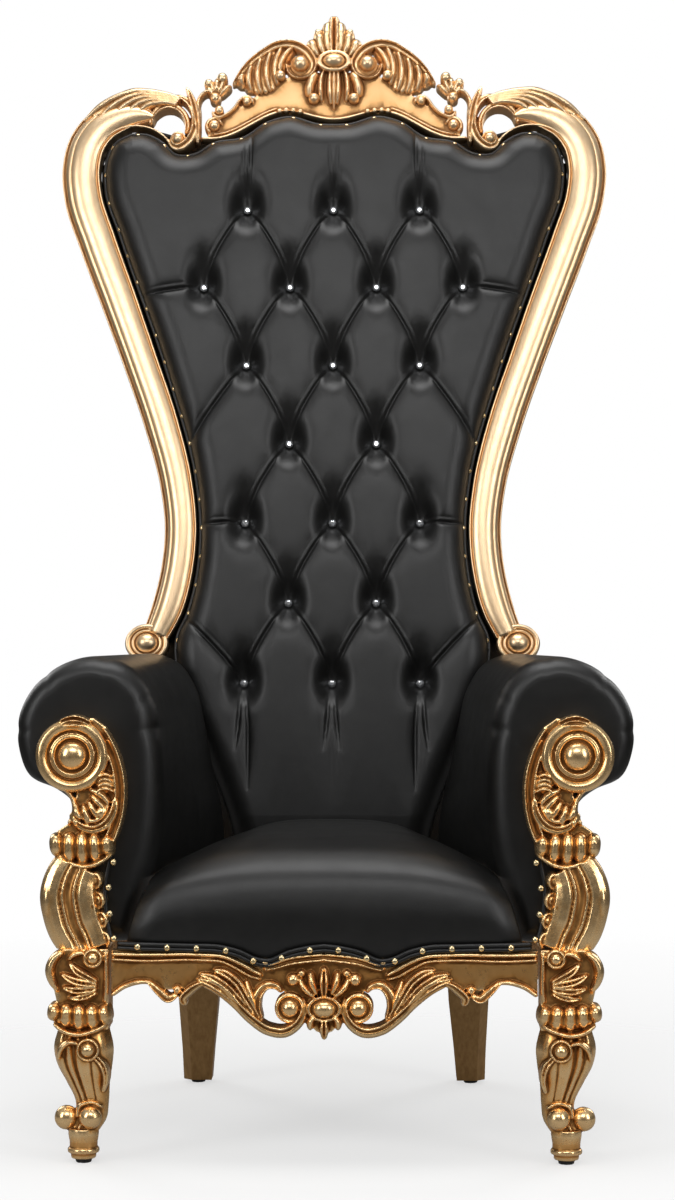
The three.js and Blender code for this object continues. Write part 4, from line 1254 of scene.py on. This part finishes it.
# ---------------------------------------------------------------- welts, nails, crystals
CORD_SIDES = 8
NAIL_RADIUS, NAIL_SIDES = 4.8, 14
# The dome of a nail: share of its radius, and height over the leather.
NAIL_DOME = [(0.96, -1.5), (1, 0.0), (0.93, 1.0), (0.74, 2.1), (0.45, 2.9), (0.15, 3.2)]


def tube(line, radius):
    """A round cord along points (across, height, depth) whose way is nowhere near the depth's."""
    line = np.asarray(line, float)
    along = np.gradient(line, axis=0)
    along /= np.maximum(np.linalg.norm(along, axis=1), 1e-9)[:, None]
    side = np.cross(along, np.array([0.0, 0.0, 1.0]))
    side /= np.maximum(np.linalg.norm(side, axis=1), 1e-9)[:, None]
    up = np.cross(side, along)
    angle = circle(CORD_SIDES)
    rings = line[:, None] + radius * (side[:, None] * np.cos(angle)[None, :, None]
                                      + up[:, None] * np.sin(angle)[None, :, None])
    return skin(rings)


def offset_line(line, amount):
    return line + amount * right_of(line)


def double_welt(line, depth, apart, radius):
    """Two cords side by side along a line of (across, height)."""
    shells = []
    for side in (-1, 1):
        cord = offset_line(line, side * apart / 2)
        shells.append(tube(np.column_stack((cord, np.broadcast_to(depth, len(cord)))), radius))
    return shells


def nail_head(place, facing=(0, 0, 1)):
    """A domed head at a drawing place, facing a direction."""
    turn = Vector((0, 0, 1)).rotation_difference(Vector(facing).normalized()).to_matrix()
    angle = circle(NAIL_SIDES)
    rings = []
    for share, depth in NAIL_DOME:
        r = NAIL_RADIUS * share
        ring = np.column_stack((r * np.cos(angle), r * np.sin(angle), np.full(NAIL_SIDES, depth)))
        rings.append(ring @ np.array(turn).T + np.asarray(place, float))
    return skin(rings)


def evenly(line, spacing, start):
    """Places every `spacing` along a dense line, the first of them `start` along it."""
    run = run_along(line)
    at = np.arange(start, run[-1], spacing)
    return np.column_stack([np.interp(at, run, line[:, k]) for k in range(line.shape[1])])


def add_back_trim():
    outline = pad_outline(5)
    outline = outline[outline[:, 1] > 262]
    outline = offset_line(outline, -5.5)
    welt = outward(make_mesh(double_welt(mirrored(outline), -1.5, 6.6, 3.6)))
    show("back_welt", welt, LEATHER, True)
    half = evenly(outline[::-1], 48.5, 22)
    places = np.vstack((half, half * (-1, 1)))
    nails = [nail_head((x, z, 2.6)) for x, z in places]
    show("back_nails", outward(make_mesh(nails)), NAIL, True)


def add_crystals():
    """Cut stones: a table, two rings of facets and a pointed back."""
    for i, (x, z) in enumerate(button_places()):
        rings = []
        for radius, depth, turn in ((0.2, -3, 0), (6.4, 2.4, 0), (6.6, 3.2, 0), (4.9, 5.4, 0.5),
                                    (3.0, 6.6, 0)):
            angle = (np.arange(8) + turn) * math.pi / 4
            rings.append(np.column_stack((x + radius * np.cos(angle), z + radius * np.sin(angle),
                                          np.full(8, depth))))
        mesh = outward(make_mesh([skin(rings)]))
        name = f"button_{i + 1:02d}"
        show(f"crystal_{i + 1:02d}", mesh, CRYSTAL, True, replaces=[name], smooth=False)


# ---------------------------------------------------------------- arms
ARM_REAR = -106
ARM_SECTION_FRONT = [
    (292, 318), (267, 400), (248, 480), (243, 550), (247, 625), (262, 690), (296, 729), (340, 742),
    (392, 731), (434, 700), (459, 652), (459, 604), (441, 562), (405, 546), (383, 530), (377, 430),
    (382, 318)]
ARM_SECTION_REAR = [
    (166, 318), (167, 400), (174, 480), (190, 550), (204, 620), (220, 682), (248, 722), (288, 737),
    (335, 729), (378, 700), (403, 655), (401, 605), (384, 568), (350, 550), (326, 534), (306, 430),
    (292, 318)]
VOLUTE = (370, 597)
DARTS = (-32, 22, 68, 107, 143, 163)   # degrees round the volute
DART_DEPTH, DART_WIDE, DART_RUN = 4.5, 4.5, 95
ARM_PLACES = 150             # round each section
ARM_FOOT = 318
# The roll's front end: how far back its rounding runs, and how far in.
END_RUN, END_INSET = 34, 30


def arm_section(section):
    """A section's outline as evenly spread places."""
    line = smooth_path(section, 1)
    at = np.linspace(0, 1, ARM_PLACES)
    return np.column_stack([np.interp(at, np.linspace(0, 1, len(line)), line[:, k]) for k in (0, 1)])


def arm_pad_mesh():
    """The arm from its front, section by section to its rear: share is 0 at the front and 1 at the
    rear, and the rings are closer together where the front end is rounded."""
    front, rear = arm_section(ARM_SECTION_FRONT), arm_section(ARM_SECTION_REAR)
    length = ARM_BACK - ARM_REAR
    behind = np.concatenate((1 - np.cos(np.linspace(0, math.pi / 2, 12)), [1.2, 1.5, 2, 2.6]))
    t = np.concatenate((behind * END_RUN / length, np.linspace(0.24, 0.97, 24), [0.99, 1.0]))
    rings = []
    for share in t:
        flat = front * (1 - share) + rear * share
        gone = share * length
        rounding = END_INSET * (1 - math.sqrt(max(0.0, 1 - (1 - min(gone / END_RUN, 1)) ** 2)))
        if share > 0.98:
            rounding = 10 * (share - 0.98) / 0.02
        middle = np.column_stack((np.full(ARM_PLACES, 345 - 60 * share), np.clip(flat[:, 1], 420, 625)))
        towards = middle - flat
        size = np.linalg.norm(towards, axis=1)[:, None]
        towards = towards / np.maximum(size, 1)
        fade = np.clip(1 - gone / DART_RUN, 0, 1) ** 1.3
        angle = np.degrees(np.arctan2(flat[:, 1] - VOLUTE[1], flat[:, 0] - VOLUTE[0]))
        radius = np.hypot(flat[:, 0] - VOLUTE[0], flat[:, 1] - VOLUTE[1])
        dent = np.zeros(ARM_PLACES)
        for dart in DARTS:
            apart = np.abs((angle - dart + 180) % 360 - 180)
            arc = np.radians(apart) * radius
            dent += DART_DEPTH * np.exp(-arc / DART_WIDE)
        above = np.clip((flat[:, 1] - 540) / 40, 0, 1)
        inset = np.minimum(rounding + dent * fade * above, size[:, 0] * 0.8)
        flat = flat + towards * inset[:, None]
        flat[:, 1] = np.maximum(flat[:, 1], ARM_FOOT)
        lean = (flat[:, 1] - 450) * math.tan(LEAN)
        depth = (1 - share) * (ARM_BACK - 0.4) + share * (ARM_REAR - lean)
        rings.append(np.column_stack((flat, depth)))
    return outward(make_mesh([skin(rings)]))


def add_arm_pads():
    mesh = apply_modifiers(arm_pad_mesh(), ("SUBSURF", {"levels": 1}))
    mesh = thin_out(mesh, 30000)
    for piece in show_pair("arm_pad", mesh, LEATHER):
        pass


def add_arm_trim():
    """Welt and nails down the seam between the leather and the carved front of each arm."""
    line = smooth_path([(313, 452, 352), (318, 430, 352), (322, 405, 354), (321, 380, 356),
                        (318, 355, 358), (311, 325, 362)], 4)
    welt = tube(line, 3.4)
    nails = [nail_head(place, (-0.35, 0, 1)) for place in ((309, 441, 356), (316, 404, 357),
                                                           (314, 366, 360), (307, 330, 366))]
    for side, name in ((1, "right"), (-1, "left")):
        cord = outward(make_mesh([welt if side > 0 else flip_shell(welt)]))
        show(f"arm_welt_{name}", cord, LEATHER)
        heads = outward(make_mesh(nails if side > 0 else [flip_shell(n) for n in nails]))
        show(f"arm_nails_{name}", heads, NAIL)


# ---------------------------------------------------------------- seat
SEAT_PROFILE = [  # depth and height over the middle of the seat, from its front foot to its rear
    (366, 322), (373, 334), (376, 352), (374, 385), (360, 425), (325, 452), (270, 467), (180, 474),
    (70, 474), (-20, 471), (-90, 462), (-100, 440), (-100, 322)]
SEAT_CLEAR = 5               # from the arms
SEAT_FOOT, SEAT_TOP = 322, 474
SEAT_SAG = 46                # how much lower the seat's sides are than its middle
WAVE_TOP = 350               # under this height, its front follows the rail's wavy edge


def arm_inner_face(height, share):
    inner_front = np.array(ARM_SECTION_FRONT[:4])
    inner_rear = np.array(ARM_SECTION_REAR[:4])
    front = np.interp(height, inner_front[:, 1], inner_front[:, 0])
    rear = np.interp(height, inner_rear[:, 1], inner_rear[:, 0])
    return front * (1 - share) + rear * share


def seat_mesh():
    profile = smooth_path(SEAT_PROFILE, 6)
    s = np.sin(np.linspace(-math.pi / 2, math.pi / 2, 90))
    rings = []
    rail = np.array(APRON_TOP)
    for depth, height in profile:
        share = np.clip((ARM_BACK - depth) / (ARM_BACK - ARM_REAR), 0, 1)
        sag = SEAT_SAG * np.clip((height - SEAT_FOOT) / (SEAT_TOP - SEAT_FOOT), 0, 1)
        z = height - sag * np.abs(s) ** 3.2
        half = arm_inner_face(np.maximum(z, 326), share) - SEAT_CLEAR
        half = half + np.clip((depth - 340) / 30, 0, 1) * 6
        x = s * half
        if height < WAVE_TOP and depth > 300:
            edge = np.interp(np.abs(x), rail[:, 0], rail[:, 1]) + 3
            z = z - (SEAT_FOOT - edge) * np.clip((WAVE_TOP - z) / (WAVE_TOP - SEAT_FOOT), 0, 1)
        corner = np.clip((np.abs(s) - 0.86) / 0.14, 0, 1) ** 2
        y = depth - corner * 16 * (depth > 250)
        rings.append(np.column_stack((x, z, y)))
    return outward(make_mesh([skin(rings)]))


def add_seat():
    mesh = apply_modifiers(seat_mesh(), ("SUBSURF", {"levels": 1}))
    mesh = thin_out(mesh, 30000)
    seat = show("seat_leather", mesh, LEATHER, replaces=["seat_pad"])


def add_seat_trim():
    half = smooth_path([(0, 318), (24, 315), (50, 309), (84, 296), (101, 299), (123, 309), (150, 316),
                        (200, 318), (302, 320)], 4)

    def corner_drop(across):
        """How far the trim steps back where the seat's front rounds into its corners."""
        return 10 * np.clip((np.abs(across) - 270) / 40, 0, 1)

    both = np.vstack((half[::-1] * (-1, 1), half[1:]))
    welt = double_welt(both, 374.5 - corner_drop(both[:, 0]), 6.4, 3.5)
    show("seat_welt", outward(make_mesh(welt)), LEATHER)
    places = evenly(half, 43, 21)
    places = np.vstack((places, places * (-1, 1)))
    nails = [nail_head((x, z, 378 - corner_drop(x))) for x, z in places]
    show("seat_nails", outward(make_mesh(nails)), NAIL)


# ---------------------------------------------------------------- plain solids kept from the frame
def finish_solid(name, finish, bevel=2.5):
    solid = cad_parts[name]
    solid.data.materials.clear()
    solid.data.materials.append(finish)
    edge = solid.modifiers.new("edge", "BEVEL")
    edge.width = bevel * MM
    edge.segments = 3
    edge.limit_method = "ANGLE"
    edge.angle_limit = math.radians(35)
    solid.data.polygons.foreach_set("use_smooth", [False] * len(solid.data.polygons))


def add_plain_solids():
    for side in ("right", "left"):
        finish_solid(f"side_rail_{side}", GOLD_DEEP)
        finish_solid(f"rear_leg_{side}", BRONZE, 3)
        finish_solid(f"front_glide_{side}", BLACK, 1)
        finish_solid(f"rear_glide_{side}", BLACK, 1)
    finish_solid("rear_rail", BRONZE)


# ---------------------------------------------------------------- floor, light, camera
def add_floor():
    """A pale floor that lets the pale surroundings through and fades out into them."""
    bpy.ops.mesh.primitive_circle_add(vertices=96, radius=4.2, fill_type="NGON")
    floor = bpy.context.object
    floor.name = "floor"
    made, tree, shader = material("pale_floor")
    shader.inputs["Base Color"].default_value = (0.92, 0.92, 0.92, 1)
    shader.inputs["Roughness"].default_value = 0.7
    coordinates = tree.nodes.new("ShaderNodeTexCoord")
    distance = node(tree, "ShaderNodeVectorMath", operation="LENGTH")
    tree.links.new(coordinates.outputs["Object"], distance.inputs[0])
    fade = scaled(tree, distance.outputs["Value"], 0.5, 2.6, 0.62, 1.0)
    clear = tree.nodes.new("ShaderNodeBsdfTransparent")
    blend = tree.nodes.new("ShaderNodeMixShader")
    output = tree.nodes["Material Output"]
    tree.links.new(fade, blend.inputs["Fac"])
    tree.links.new(shader.outputs["BSDF"], blend.inputs[1])
    tree.links.new(clear.outputs["BSDF"], blend.inputs[2])
    tree.links.new(blend.outputs["Shader"], output.inputs["Surface"])
    floor.data.materials.append(made)


def add_surroundings():
    """White to look at, and a dim studio for the gold and the leather to mirror."""
    world = bpy.data.worlds.new("studio")
    bpy.context.scene.world = world
    world.use_nodes = True
    tree = world.node_tree
    tree.nodes.clear()
    coordinates = tree.nodes.new("ShaderNodeTexCoord")
    split = tree.nodes.new("ShaderNodeSeparateXYZ")
    tree.links.new(coordinates.outputs["Generated"], split.inputs["Vector"])
    tone = ramp(tree, scaled(tree, split.outputs["Z"], -1, 1), [
        (0.0, (0.10, 0.095, 0.09)), (0.46, (0.07, 0.067, 0.063)), (0.56, (0.08, 0.078, 0.075)),
        (0.75, (0.22, 0.22, 0.22)), (1.0, (0.42, 0.42, 0.42))])
    studio = node(tree, "ShaderNodeBackground", Strength=1.0)
    tree.links.new(tone, studio.inputs["Color"])
    white = node(tree, "ShaderNodeBackground", Strength=1.0)
    white.inputs["Color"].default_value = (1, 1, 1, 1)
    rays = tree.nodes.new("ShaderNodeLightPath")
    blend = tree.nodes.new("ShaderNodeMixShader")
    output = tree.nodes.new("ShaderNodeOutputWorld")
    tree.links.new(rays.outputs["Is Camera Ray"], blend.inputs["Fac"])
    tree.links.new(studio.outputs["Background"], blend.inputs[1])
    tree.links.new(white.outputs["Background"], blend.inputs[2])
    tree.links.new(blend.outputs["Shader"], output.inputs["Surface"])


def add_softbox(name, place, aim, size, brightness):
    """A softbox of a given brightness in the picture's own units, whatever its size."""
    lamp = bpy.data.lights.new(name, "AREA")
    lamp.shape = "RECTANGLE"
    lamp.size, lamp.size_y = size
    lamp.energy = brightness * math.pi * size[0] * size[1]
    box = bpy.data.objects.new(name, lamp)
    box.location = place
    box.rotation_euler = (Vector(aim) - Vector(place)).to_track_quat("-Z", "Y").to_euler()
    box.visible_camera = False
    bpy.context.scene.collection.objects.link(box)


def add_lights():
    add_softbox("front_high", (0.0, -3.3, 2.75), (0, 0, 1.2), (2.3, 1.0), 4.6)
    add_softbox("front_left", (-2.5, -2.4, 1.7), (0, 0, 1.0), (0.9, 2.2), 5.2)
    add_softbox("front_right", (2.5, -2.4, 1.7), (0, 0, 1.0), (0.9, 2.2), 4.6)
    add_softbox("top", (0, -0.3, 3.9), (0, 0, 0.8), (2.4, 1.8), 4.0)
    add_softbox("rear_left", (-2.4, 2.6, 2.2), (0, 0, 1.1), (1.2, 2.2), 3.0)
    add_softbox("rear_right", (2.4, 2.6, 2.2), (0, 0, 1.1), (1.2, 2.2), 3.0)


def add_camera():
    data = bpy.data.cameras.new("camera")
    data.sensor_width = 36
    data.lens = 84.1
    camera = bpy.data.objects.new("camera", data)
    camera.location = (0.10, -4.455 + SHIFT, 0.825)
    camera.rotation_euler = (math.radians(90), 0, math.radians(1.13))
    bpy.context.scene.collection.objects.link(camera)
    bpy.context.scene.camera = camera


add_crest()
add_stiles()
add_arm_fronts()
add_front_legs()
add_front_rail()
add_back_pad()
add_outside_back()
add_back_trim()
add_crystals()
add_arm_pads()
add_arm_trim()
add_seat()
add_seat_trim()
add_plain_solids()
add_floor()
add_surroundings()
add_lights()
add_camera()
bpy.context.scene.view_settings.view_transform = "Standard"
